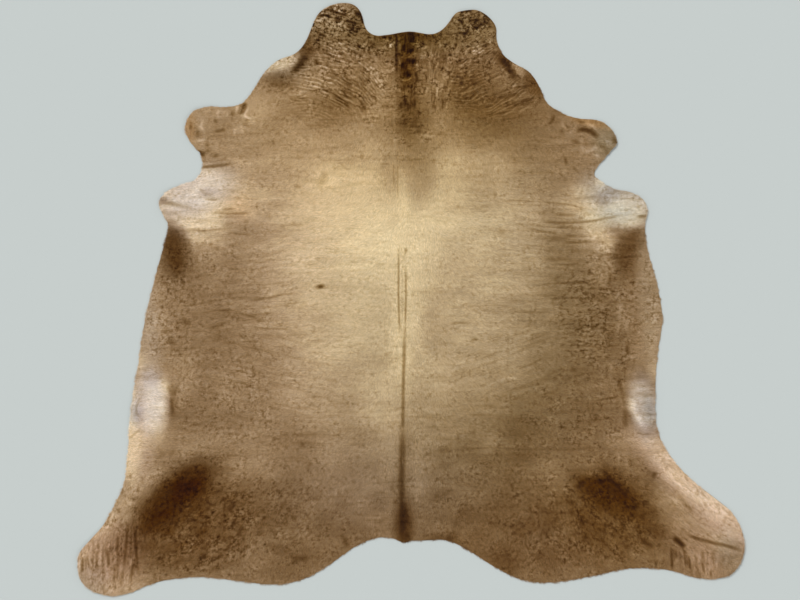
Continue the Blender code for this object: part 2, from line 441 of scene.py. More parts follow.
# The broad tones of the coat, each laid over the ones before. The rows named for shade, shadow or a
# painted highlight paint light and shade into the coat.
BASE_TONE = 110.0
TONES = rows(
    Tone,
    ("right half", (620, -100, 500, 950, 0, 0.5), 98, 1),
    ("left shoulder", (-500, 550, 440, 340, 0, 0.5), 136, 1),
    ("right shoulder", (460, 500, 420, 200, 0, 0.5), 122, 0.9),
    ("left flank", (-680, -200, 340, 550, 0, 0.5), 115, 1),
    ("left flank, lower", (-620, -520, 260, 100, 0, 0.6), 124, 0.9),
    ("rump, left", (-330, -740, 420, 280, 0, 0.5), 104, 1),
    ("rump, right", (340, -720, 440, 340, 0, 0.5), 91, 1),
    ("rump, left inner", (-260, -780, 80, 60), 84, 0.6),
    ("back, wide", (-60, 70, 460, 560, 0, 0.42), 150, 1),
    ("loin, left", (-220, -420, 240, 240), 134),
    ("back, middle", (-180, 160, 330, 360, 0, 0.5), 176, 0.95),
    ("withers", (-150, 260, 200, 180, 0, 0.6), 194, 0.9),
    ("withers, right", (60, 200, 110, 220), 192, 0.8),
    ("withers, left front", (-260, 420, 70, 50), 196, 0.6),
    ("back, left of spine", (-150, 60, 50, 60), 194, 0.6),
    ("back, right", (230, 260, 180, 220), 170, 0.75),
    ("back, by the spine", (65, 150, 35, 45), 200, 0.6),
    ("withers, middle", (0, 350, 50, 40), 188, 0.6),
    ("withers, left of ridge", (-62, 315, 20, 64), 180, 0.5),
    ("withers, right of ridge", (20, 310, 22, 50), 172, 0.5),
    ("withers, right, shade", (140, 368, 36, 48), 158, 0.6),
    ("withers, right, light", (132, 262, 32, 34), 194, 0.5),
    ("withers, rear", (-2, 216, 38, 34), 182, 0.5),
    ("back, right, outer", (380, 120, 80, 180), 150),
    ("shoulder, right lower", (330, 400, 100, 70), 137),
    ("back, right front", (330, 335, 120, 35), 162, 0.5),
    ("right side, middle", (430, -120, 100, 140), 126, 0.6),
    ("loin stripe", (-32, -60, 46, 240), 186),
    ("loin, hollow", (-280, -120, 100, 160), 172, 0.6),
    ("back, right of spine", (150, 20, 90, 160, 10), 146, 0.75),
    ("back, left lower", (-350, -100, 100, 60), 154, 0.6),
    ("loin, spine", (-100, -360, 80, 120), 168, 0.8),
    ("croup, spine", (-30, -540, 70, 140), 138, 0.8),
    ("loin, right", (180, -330, 50, 50), 124, 0.6),
    ("loin, behind", (30, -250, 60, 40), 150, 0.5),
    ("loin, left lower", (-300, -400, 70, 40), 154, 0.5),
    ("croup, left", (-155, -490, 50, 60), 116, 0.6),
    ("croup, right", (110, -450, 50, 30), 112, 0.5),
    ("croup, right outer", (260, -500, 50, 40), 124, 0.6),
    ("rump, right front", (400, -560, 150, 25), 80, 0.5),
    ("loin, right outer", (400, -450, 60, 40), 76, 0.6),
    ("loin, left side", (-390, -290, 80, 90), 152),
    ("left side, middle", (-520, 20, 100, 90), 126, 0.6),
    ("right side, upper", (610, 210, 80, 40), 139, 0.8),
    ("right side, front edge", (490, 250, 90, 30), 144, 0.6),
    ("right side, light", (660, 140, 50, 70), 131, 0.9),
    ("right side, front", (555, 150, 70, 125), 117, 0.6),
    ("right side, behind elbow", (755, -40, 30, 60), 126, 0.6),
    ("spine, right", (90, -90, 45, 90), 138),
    ("spine, left", (-110, -60, 50, 100), 162, 0.5),
    ("right side, inner", (350, -170, 60, 110), 150, 0.6),
    ("left side, inner", (-450, 40, 60, 50), 168, 0.6),
    ("left side, low", (-630, -290, 80, 90), 134, 0.6),
    ("left side, low, shade", (-715, -300, 40, 36), 105, 0.5),
    ("left side, front", (-690, 120, 50, 60), 130),
    ("left flank, inner", (-720, -410, 120, 50), 100),
    ("left side, lower edge", (-800, -270, 50, 80), 138),
    ("shoulders, middle left", (-90, 420, 60, 80), 158),
    ("shoulder, left upper", (-300, 665, 90, 70), 104),
    ("shoulder, right upper", (430, 550, 100, 80), 98),
    ("shoulder, right inner", (110, 490, 70, 60), 166),
    ("shoulder, left inner", (-200, 500, 70, 50), 150),
    ("crest", (-4, 582, 96, 118), 101, 0.6),
    ("crest, left", (-52, 600, 22, 26), 84, 0.6),
    ("crest, rear", (4, 700, 26, 24), 92, 0.5),
    ("neck, left", (-200, 800, 300, 200, 0, 0.5), 118, 1),
    ("neck, left lower", (-290, 685, 70, 48), 94),
    ("neck, left outer", (-355, 650, 40, 30), 134, 0.6),
    ("neck, right", (240, 800, 280, 220, 0, 0.5), 89, 1),
    ("neck, right foot", (120, 605, 118, 76), 121, 0.8),
    ("neck, left ridge", (-118, 740, 40, 120), 132, 0.8),
    ("neck, right ridge", (100, 690, 45, 60), 120, 0.8),
    ("jaw, left", (-400, 750, 80, 60), 136),
    ("neck, left middle", (-220, 715, 72, 66), 92, 0.8),
    ("neck, right middle", (270, 700, 130, 120), 75, 0.8),
    ("right shoulder, top", (405, 700, 34, 34), 98, 0.5),
    ("neck, right side", (330, 775, 50, 50), 108, 0.6),
    ("neck, front", (-50, 890, 200, 60), 88, 0.8),
    ("front, beside the mane", (-60, 900, 25, 30), 98, 0.6),
    ("neck, right, front", (200, 895, 45, 35), 112, 0.6),
    ("front edge", (-10, 930, 150, 30, 0, 0.6), 52, 0.9),
    ("mane, tail end", (30, 448, 52, 98), 122, 0.85),
    ("mane, tail end, left", (-74, 442, 30, 62), 138),
    ("withers, ridge", (-24, 296, 14, 60, 0, 0.6), 194, 0.6),
    ("mane, shadow", (-14, 830, 34, 130, 0, 0.8), 47, 0.9),
    ("mane, back, shadow", (-4, 640, 38, 84), 74, 0.9),
    ("mane, right shadow", (40, 625, 35, 40), 84, 0.6),
    ("left cheek", (-260, 960, 110, 100, 0, 0.5), 118, 0.9),
    ("left cheek, inner side", (-185, 980, 30, 50), 76),
    ("right cheek", (210, 970, 110, 70, 0, 0.5), 94, 0.9),
    ("right cheek, side", (250, 900, 60, 50, 0, 0.6), 102, 0.8),
    ("left jaw, dark", (-365, 875, 30, 70, -30), 62, 0.85),
    ("left neck, outer", (-290, 880, 60, 50), 98, 0.6),
    ("left jaw, light", (-460, 830, 70, 30, 20, 0.5), 178, 0.95),
    ("left jaw, brown", (-450, 765, 50, 30, 0, 0.6), 88, 0.9),
    ("right jaw, dark", (330, 830, 22, 40, 30), 64, 0.85),
    ("right jaw, light", (375, 802, 24, 16, -30, 0.6), 132, 0.85),
    ("right jaw, brown", (434, 750, 28, 40, 20), 62, 0.9),
    ("left shoulder point", (-560, 660, 70, 60, 0, 0.6), 156, 0.9),
    ("left foreleg", (-740, 640, 60, 40), 144, 0.8),
    ("left foreleg, middle", (-650, 620, 50, 50), 132, 0.8),
    ("right foreleg", (620, 570, 130, 80, 0, 0.5), 116, 0.9),
    ("left flap", (-740, 350, 200, 100, 0, 0.35), 190, 1),
    ("left flap, tip", (-872, 345, 22, 14), 118, 0.6),
    ("left flap, underside", (-855, 303, 25, 14), 160, 0.6),
    ("left flap, white", (-700, 380, 90, 70, 0, 0.6), 208, 0.8),
    ("left flap, foot", (-730, 250, 100, 66, 0, 0.6), 184, 0.9),
    ("left flap, upper edge", (-800, 400, 60, 30, 20), 176, 0.8),
    ("left flap, inner", (-590, 360, 90, 80, 0, 0.6), 162),
    ("left flap, inner shade", (-622, 285, 45, 22), 138),
    # painted shade in a hollow of the flap
    ("left flap, hollow", (-712, 376, 30, 16, 0, 0.6), 166, 0.8),
    ("left armpit, light", (-560, 460, 90, 35), 160),
    ("left side, below flap", (-540, 235, 70, 35), 124, 0.5),
    ("right flap", (680, 340, 160, 90, 0, 0.4), 163, 1),
    ("right flap, white", (760, 310, 70, 50, 0, 0.6), 184, 0.9),
    ("right flap, foot", (650, 250, 50, 35, 0, 0.6), 180),
    ("right flap, cream", (635, 310, 35, 35), 190, 0.5),
    ("right flap, last fold", (682, 182, 22, 22), 166),
    ("right flap, lowest", (700, 205, 24, 20), 168, 0.6),
    ("right flap, grey", (710, 380, 30, 30), 144),
    ("right flap, light", (725, 325, 30, 20), 200),
    ("right flap, dark", (668, 352, 28, 22), 142, 0.8),
    ("right flap, root", (665, 408, 20, 14), 198),
    ("right flap, lower", (775, 268, 40, 20), 178),
    ("right flap, inner", (592, 378, 30, 20), 178, 0.6),
    ("right shoulder, lower edge", (430, 410, 60, 40), 120, 0.5),
    ("left elbow", (-826, 170, 43, 97, 6, 0.55), 54, 0.95),
    ("left elbow, right side", (-784, 160, 19, 62, 10), 82, 0.7),
    ("left elbow, beside", (-712, 158, 50, 36), 137),
    ("left elbow, foot", (-760, 50, 35, 50, 20), 102, 0.6),
    ("left elbow, edge", (-868, 100, 20, 40), 86),
    ("left flap, lower edge", (-800, 285, 50, 30), 184),
    ("right elbow", (757, 158, 40, 68, -14), 68, 0.95),
    ("right elbow, top", (806, 210, 38, 36), 60, 0.85),
    ("right belly edge, light", (852, -50, 14, 34), 150, 0.6),
    ("left belly edge", (-915, -40, 50, 240, 7), 150, 0.8),
    ("left belly, dark", (-888, -150, 24, 50), 122, 0.6),
    ("right belly edge", (845, -60, 45, 300, 3), 136, 0.9),
    ("right belly edge, top", (830, 10, 30, 66), 112),
    ("right side, outer", (790, -185, 25, 55), 132, 0.5),
    ("right belly edge, low", (855, -250, 25, 50), 156, 0.6),
    ("left flank, edge", (-945, -200, 30, 70, 6), 146, 0.8),
    ("left flank, rim", (-945, -225, 14, 30), 184, 0.8),
    ("left flank, cream", (-965, -520, 45, 130, 4, 0.6), 208, 0.95),
    ("left flank, light", (-920, -360, 55, 150, 4, 0.6), 168, 0.9),
    ("left flank, white", (-902, -385, 45, 90, 4, 0.4), 197, 1),
    ("left flank, white, top", (-868, -312, 22, 35, 0, 0.6), 196, 0.8),
    ("left flank, grey", (-944, -325, 16, 55, 8), 174, 0.8),
    ("left flank, below", (-915, -495, 45, 50), 184),
    # a painted highlight along the rim of the flank
    ("left flank, rim, light", (-974, -340, 14, 50, 8), 196, 0.8),
    ("left flank, oval", (-955, -405, 16, 34, 0, 0.6), 160, 0.9),
    ("left flank, inner rim", (-872, -430, 10, 30), 152, 0.5),
    ("left flank, shadow", (-832, -378, 15, 36), 92, 0.8),
    ("right flank, light", (815, -370, 46, 115, 14, 0.45), 160, 1),
    # painted highlights on a bump and a ridge along the flank's raised rim
    ("right flank, bump", (772, -372, 14, 26, 20), 188, 0.9),
    ("right flank, ridge", (798, -425, 10, 40, 30), 184, 0.8),
    ("right flank, inner top", (745, -330, 18, 50), 116),
    ("right flank, grey", (842, -385, 20, 45, 8), 138, 0.8),
    ("right flank, lower", (800, -485, 100, 40), 129, 0.8),
    ("right flank, foot", (852, -495, 30, 18), 176, 0.6),
    ("right thigh, top", (790, -535, 70, 25), 112, 0.6),
    ("right side, lower edge", (700, -400, 50, 50), 104, 0.6),
    ("right side, low, dark", (610, -390, 50, 40), 80, 0.6),
    ("right thigh, front", (520, -600, 120, 60), 106),
    ("right thigh, light", (950, -720, 240, 120, -38, 0.6), 132, 0.9),
    ("left thigh, light", (-940, -640, 100, 160, -35, 0.6), 138, 0.9),
    ("left hind leg", (-1090, -860, 140, 180, 0, 0.4), 155, 1),
    ("left hind leg, end", (-1040, -1000, 120, 50), 144, 0.8),
    ("left hind leg, middle", (-1000, -880, 70, 120), 160, 0.8),
    ("right hind leg", (1080, -870, 120, 130, 0, 0.4), 122, 1),
    ("right hind leg, upper", (1080, -800, 70, 60, -40, 0.6), 148, 0.8),
    ("left side, rear", (-580, -570, 100, 100), 132),
    ("left side, rear, shade", (-660, -600, 34, 30), 90, 0.6),
    ("left thigh, front, shade", (-850, -560, 40, 32), 102, 0.6),
    ("left thigh, rim", (-730, -530, 120, 35), 130),
    ("left thigh", (-800, -790, 250, 120, 24, 0.5), 75, 1),
    ("left thigh, dark", (-820, -680, 158, 68, 42, 0.65), 34, 0.95),
    ("left thigh, core", (-775, -650, 60, 38, 36), 20, 0.8),
    ("left thigh, upper", (-757, -607, 50, 22, 20, 0.5), 44),
    ("left thigh, lower edge", (-740, -910, 110, 50), 79, 0.8),
    ("left thigh, inner", (-540, -770, 60, 60), 74),
    ("left rump, edge", (-400, -900, 80, 40), 85, 0.8),
    ("buttock, left", (-430, -950, 80, 30), 82),
    ("left thigh, inner low", (-620, -850, 60, 30), 68, 0.6),
    ("right thigh", (700, -780, 210, 140, -18, 0.5), 76, 1),
    ("right thigh, dark", (700, -670, 130, 65, -32), 38, 0.95),
    ("right thigh, core", (655, -655, 50, 26, -20), 36),
    ("right thigh, front dark", (615, -775, 45, 45), 58, 0.6),
    ("right thigh, front edge", (810, -640, 60, 50, -40), 76, 0.8),
    ("right thigh, lower right", (845, -800, 35, 30), 62, 0.6),
    ("right thigh edge", (990, -650, 260, 50, -43, 0.5), 173, 1),
    ("right thigh, inner light", (950, -700, 30, 30), 162),
    ("left thigh edge", (-985, -520, 38, 115, 4, 0.5), 192, 0.9),
    ("left thigh, far blobs", (-925, -780, 18, 40, 0, 0.6), 44, 0.6),
    ("right thigh, wedge", (610, -580, 60, 30, -20), 112, 0.6),
    ("rump, right middle", (370, -770, 140, 120), 70),
    ("rump, right patch", (200, -750, 40, 30, 20), 64, 0.8),
    ("rump crest, right", (330, -920, 50, 40, -30), 65, 0.8),
    ("rump edge, right", (130, -860, 70, 40, -20), 64),
    ("tail, right side", (12, -755, 22, 40), 104, 0.6),
    ("rump edge, beside the tail", (105, -800, 40, 25), 108, 0.5),
    ("buttock, right", (520, -900, 100, 50), 72),
    ("buttock, right, light", (550, -820, 35, 50), 100, 0.6),
    ("right thigh, lower edge", (850, -900, 80, 30), 106, 0.6),
    ("right hind leg, end", (1120, -930, 50, 50), 108, 0.8),
    ("left rump, middle", (-410, -680, 80, 60), 91, 0.6),
    ("rump, left outer", (-450, -755, 50, 40), 78, 0.6),
    ("left croup, dark", (-400, -500, 70, 40), 104),
    ("tail, wide", (-25, -640, 32, 180, 0, 0.8), 92, 0.5),
    ("tail", (-25, -790, 32, 90), 48, 0.9),
    soft=0.7,
)


class Tint(NamedTuple):
    """An area of the coat and how much redder, greener and bluer it is, in display steps."""

    place: str
    area: Oval
    red: float
    green: float
    blue: float


TINTS = rows(
    Tint,
    ("neck and shoulders, warm", (-100, 600, 500, 260), 2, 0, -6),
    ("left flap, grey", (-750, 380, 130, 70, 20), -7, 1, 22),
    ("left flap, cream", (-770, 280, 120, 60, 0, 0.7), -2, 1, 8),
    ("left flap, rust", (-600, 320, 50, 40, 0, 0.8), 3, -1, -3),
    ("right flap, grey", (730, 360, 120, 80, -20), -10, 2, 18),
    ("right flap, root, grey", (700, 385, 45, 35), -2, 0, 3),
    ("left flank, edge, grey", (-970, -400, 18, 45, 0, 0.7), -8, 2, 14),
    ("right hind leg, end", (1120, -880, 50, 70, 0, 0.7), -4, 3, 5),
    ("right flap, lower", (700, 282, 100, 36, 0, 0.7), -4, 2, 8),
    ("foreleg edge, left, rust", (-775, 600, 20, 50), 6, 0, -6),
    ("foreleg edge, right, rust", (640, 620, 80, 18, -12), 6, 0, -8),
    ("foreleg, right, grey", (690, 550, 50, 60), -6, 2, 6),
    ("left flank, grey", (-915, -355, 55, 105, 4, 0.5), -7, 1, 22),
    ("left flank, cream", (-955, -500, 50, 120, 4), 0, 0, 5),
    ("right flank, grey", (818, -375, 48, 110, 8, 0.5), -9, 0, 17),
    ("right flank, oval, grey", (835, -385, 22, 50, 8), -4, 2, 6),
    ("right thigh edge, pink", (990, -660, 260, 60, -43), 0, -1, 7),
    ("back and right side, green", (180, -40, 480, 620, 0, 0.5), -2.5, 1.5, 0),
    ("left jaw, pale", (-460, 820, 90, 50), -4, 1, 7),
    ("left belly edge, pale", (-920, -120, 40, 240, 7), -3, 0, 5),
    ("right belly edge, pale", (840, 0, 40, 280, 3), -2, 1, 3),
    ("left hind leg end, pale", (-1140, -990, 70, 70), -4, 0, 4),
    ("right thigh edge, pale", (1060, -760, 100, 160, -40), -2, 1, 0),
    ("cheeks, olive", (0, 950, 400, 80, 0, 0.5), -2, 0, -4),
    ("left thigh, deep", (-760, -780, 240, 150, 30), 0, -2, -4),
    ("right thigh, deep", (700, -760, 220, 150, -30), -2, -3, -6),
    ("rump, cool", (-80, -660, 300, 140, 0, 0.8), -2, 0, 4),
    ("left hind leg, pink", (-1070, -900, 120, 120), 3, -1, 2),
    ("right hind leg, pink", (1060, -840, 140, 120), 3, -1, 2),
)


class Mark(NamedTuple):
    """An area of marks: their direction, how far they change the tone, and their size."""

    place: str
    area: Oval
    turn: float
    shade: float
    length: float = 8.6
    width: float = 8.0


ALL_OVER = (0, 0, 9000, 9000)

# Soft patches, several to a hand's breadth.
MOTTLES = rows(
    Mark,
    ("clouds", ALL_OVER, 10, 0.018, 110, 70),
    ("long streaks", ALL_OVER, 0, 0.012, 200, 22),
    ("left flank", (-660, -50, 220, 420), 4, 0.025, 60, 26),
    ("right flank", (620, -50, 240, 420), -4, 0.03, 60, 26),
    ("rump", (0, -720, 600, 240), 12, 0.045, 75, 55),
    ("left thigh", (-760, -790, 260, 160), 40, 0.09, 40, 26),
    ("right thigh", (700, -790, 260, 160), -60, 0.06, 40, 26),
    ("neck", (0, 800, 420, 180), 0, 0.03, 60, 45),
)

# Fine grain, a few hairs across. In each of these tables a row takes over from the rows before it.
FLECKS = rows(
    Mark,
    ("body", ALL_OVER, 0, 0.048),
    ("back", (-50, 80, 420, 400), 0, 0.036, 9.5, 6.4),
    ("withers", (-100, 300, 300, 140), 0, 0.018, 10, 6.6),
    ("left side", (-660, -20, 180, 360), 8, 0.058),
    ("left side, low", (-640, -360, 200, 160), 8, 0.098),
    ("left belly edge", (-870, -80, 60, 220), 8, 0.105),
    ("left elbow", (-800, 140, 90, 120), 8, 0.115),
    ("right side", (500, -80, 120, 340), -8, 0.048),
    ("right flank", (690, -60, 130, 280), -8, 0.116, 9.2, 7.4),
    ("right side, low", (580, -420, 220, 120), -8, 0.1),
    ("right belly edge", (840, 0, 40, 180), -8, 0.1),
    ("rump, left", (-380, -760, 240, 220), 30, 0.078),
    ("rump, middle", (-140, -620, 160, 120), 10, 0.045),
    ("rump, right", (340, -760, 320, 240), 30, 0.086),
    ("neck", (0, 820, 440, 170), 0, 0.165, 8.5, 6.8),
    ("crest", (0, 620, 100, 100), 0, 0.12, 9.5, 6.8),
    ("neck, front", (-20, 900, 200, 60), 0, 0.28, 9.5, 7.5),
    ("left cheek", (-260, 970, 110, 90), 0, 0.24, 8.5, 7),
    ("right cheek", (220, 970, 100, 80), 0, 0.24, 8.5, 7),
    ("forelegs", (-680, 600, 160, 120), 0, 0.04),
    ("left flap", (-760, 330, 170, 120), 0, 0.036),
    ("right flap", (720, 320, 160, 120), 0, 0.046),
    ("left flank, white", (-920, -400, 80, 200), 0, 0.026, 11, 8),
    ("right flank, white", (820, -380, 70, 160), 0, 0.026, 11, 8),
    ("left thigh", (-740, -780, 240, 190), 34, 0.17, 11.5, 9),
    ("left thigh, dark", (-820, -680, 150, 70, 40), 40, 0.15, 10, 8.5),
    ("right thigh", (670, -760, 220, 180), -44, 0.15, 11.5, 9),
    ("right thigh, dark", (650, -660, 120, 70), -44, 0.14, 10, 8.5),
    ("right thigh, back", (560, -840, 100, 120), -62, 0.14, 10.5, 7.5),
    ("left hind leg", (-1050, -840, 150, 220, -30), 82, 0.095, 10, 6.6),
    ("right hind leg", (1030, -780, 220, 160, -40), -35, 0.05, 10, 6.6),
)

# Thin wrinkles painted into the coat as a line of shade with light beside it, by the distance between
# them and their length.
PAINTED_WRINKLES = rows(
    Mark,
    ("body", ALL_OVER, 0, 0.045, 100, 26),
    ("back", (-50, 120, 400, 400), 0, 0.02, 110, 28),
    ("left side", (-620, -80, 260, 400), 4, 0.076, 110, 22),
    ("left side, lower", (-500, -360, 280, 180), -10, 0.055, 110, 24),
    ("right side", (600, 20, 260, 400), -4, 0.066, 110, 20),
    ("right side, lower", (480, -300, 300, 180), 14, 0.065, 100, 24),
    ("rump", (0, -720, 500, 200), 10, 0.05, 70, 30),
    ("left shoulder", (-580, 560, 240, 140), -14, 0.06, 60, 24),
    ("right shoulder", (600, 540, 180, 130), 24, 0.09, 60, 24),
    ("left flap", (-740, 340, 180, 120), 2, 0.055, 90, 24),
    ("right flap", (700, 300, 180, 120), -2, 0.07, 80, 24),
    ("left thigh", (-740, -790, 240, 170), 40, 0.16, 50, 24),
    ("right thigh", (690, -760, 240, 170), -50, 0.16, 50, 24),
    ("left hind leg", (-1050, -840, 150, 220, -30), 86, 0.12, 110, 20),
    ("right hind leg", (1030, -780, 220, 140, -40), -33, 0.06, 110, 22),
    ("right hind leg, end", (1030, -940, 100, 60), 96, 0.16, 70, 18),
    ("left neck, lower", (-360, 700, 110, 110), -12, 0.11, 80, 18),
    ("left neck", (-220, 790, 120, 130), -34, 0.15, 60, 18),
    ("right neck, lower", (360, 680, 120, 110), 14, 0.11, 80, 18),
    ("right neck", (220, 790, 110, 130), 36, 0.18, 60, 18),
    ("right neck, inner", (100, 800, 50, 130), 80, 0.26, 70, 22),
)

# Long fine streaks, where the skin has drawn into wrinkles.
STREAKS = rows(
    Mark,
    ("body", ALL_OVER, 0, 0.022, 90, 10),
    ("back", (-50, 120, 400, 400), 0, 0.01, 90, 10),
    ("left side, upper", (-570, 60, 260, 200), 6, 0.035, 90, 11),
    ("left side, lower", (-520, -280, 260, 160), -12, 0.03, 90, 11),
    ("right side, upper", (540, 160, 260, 180), -4, 0.04, 90, 11),
    ("right side, lower", (380, -240, 240, 140), 18, 0.03, 90, 11),
    ("left neck, lower", (-340, 720, 90, 90), -12, 0.08, 60, 9.5),
    ("left neck", (-230, 770, 90, 120), -34, 0.1, 46, 10),
    ("left neck, inner", (-130, 780, 50, 120), -44, 0.09, 40, 9.5),
    ("left neck, upper", (-260, 870, 80, 30), -28, 0.11, 30, 10),
    ("right neck, lower", (340, 700, 100, 90), 14, 0.09, 60, 9.5),
    ("right neck", (230, 780, 80, 110), 34, 0.105, 44, 10),
    ("right neck, inner", (100, 780, 50, 140), 82, 0.11, 44, 11),
    ("right neck, upper", (220, 880, 90, 40), 32, 0.15, 34, 10),
    ("left hind leg", (-1060, -930, 100, 100), 88, 0.05, 100, 10),
    ("right hind leg", (1050, -930, 100, 60), 95, 0.07, 60, 12),
    ("right thigh edge", (1000, -720, 240, 110, -40), -35, 0.04, 100, 12),
    ("left thigh edge", (-980, -680, 100, 200, -30), 55, 0.025, 60, 14),
)

# Dark spots.
SPOTS = rows(
    Mark,
    ("left cheek", (-250, 960, 120, 80), -18, 0.72, 10.8, 7),
    ("right cheek", (220, 950, 100, 80), 22, 0.62, 10.8, 7),
    ("front edge", (0, 920, 150, 30), 80, 0.5, 14, 9),
    ("left neck", (-270, 870, 120, 50), -35, 0.28, 16, 10),
    ("right neck", (170, 880, 100, 60), 40, 0.32, 16, 11),
    ("mane", (-5, 800, 35, 150), 84, 0.42, 34, 8.5),
    ("right flank", (610, -60, 110, 200), 10, 0.3, 20, 11),
    ("left flank edge", (-810, -80, 60, 220), 60, 0.18, 18, 10),
    ("left thigh", (-720, -780, 200, 140), 50, 0.3, 22, 15),
    ("right thigh", (680, -760, 180, 140), -60, 0.24, 21, 15),
    ("rump, left", (-460, -760, 160, 140), 30, 0.15, 22, 15),
    ("rump, right", (420, -840, 140, 120), 70, 0.16, 22, 15),
)


class Lines(NamedTuple):
    """Creases, ridges or dark marks of one kind: how they darken or brighten the coat, as painted
    shade in creases, painted highlight on ridges or the coat's own marks, and how they stand up.
    """

    place: str
    half_width: float
    shade: float  # the share by which they darken, or with a minus brighten, the coat: painted shade in creases, painted highlight on ridges, the coat's own colour in marks
    painted_side_light: float  # painted light and shade: the share by which their left side is brighter and their right side darker
    height: float
    runs: tuple[Path, ...]
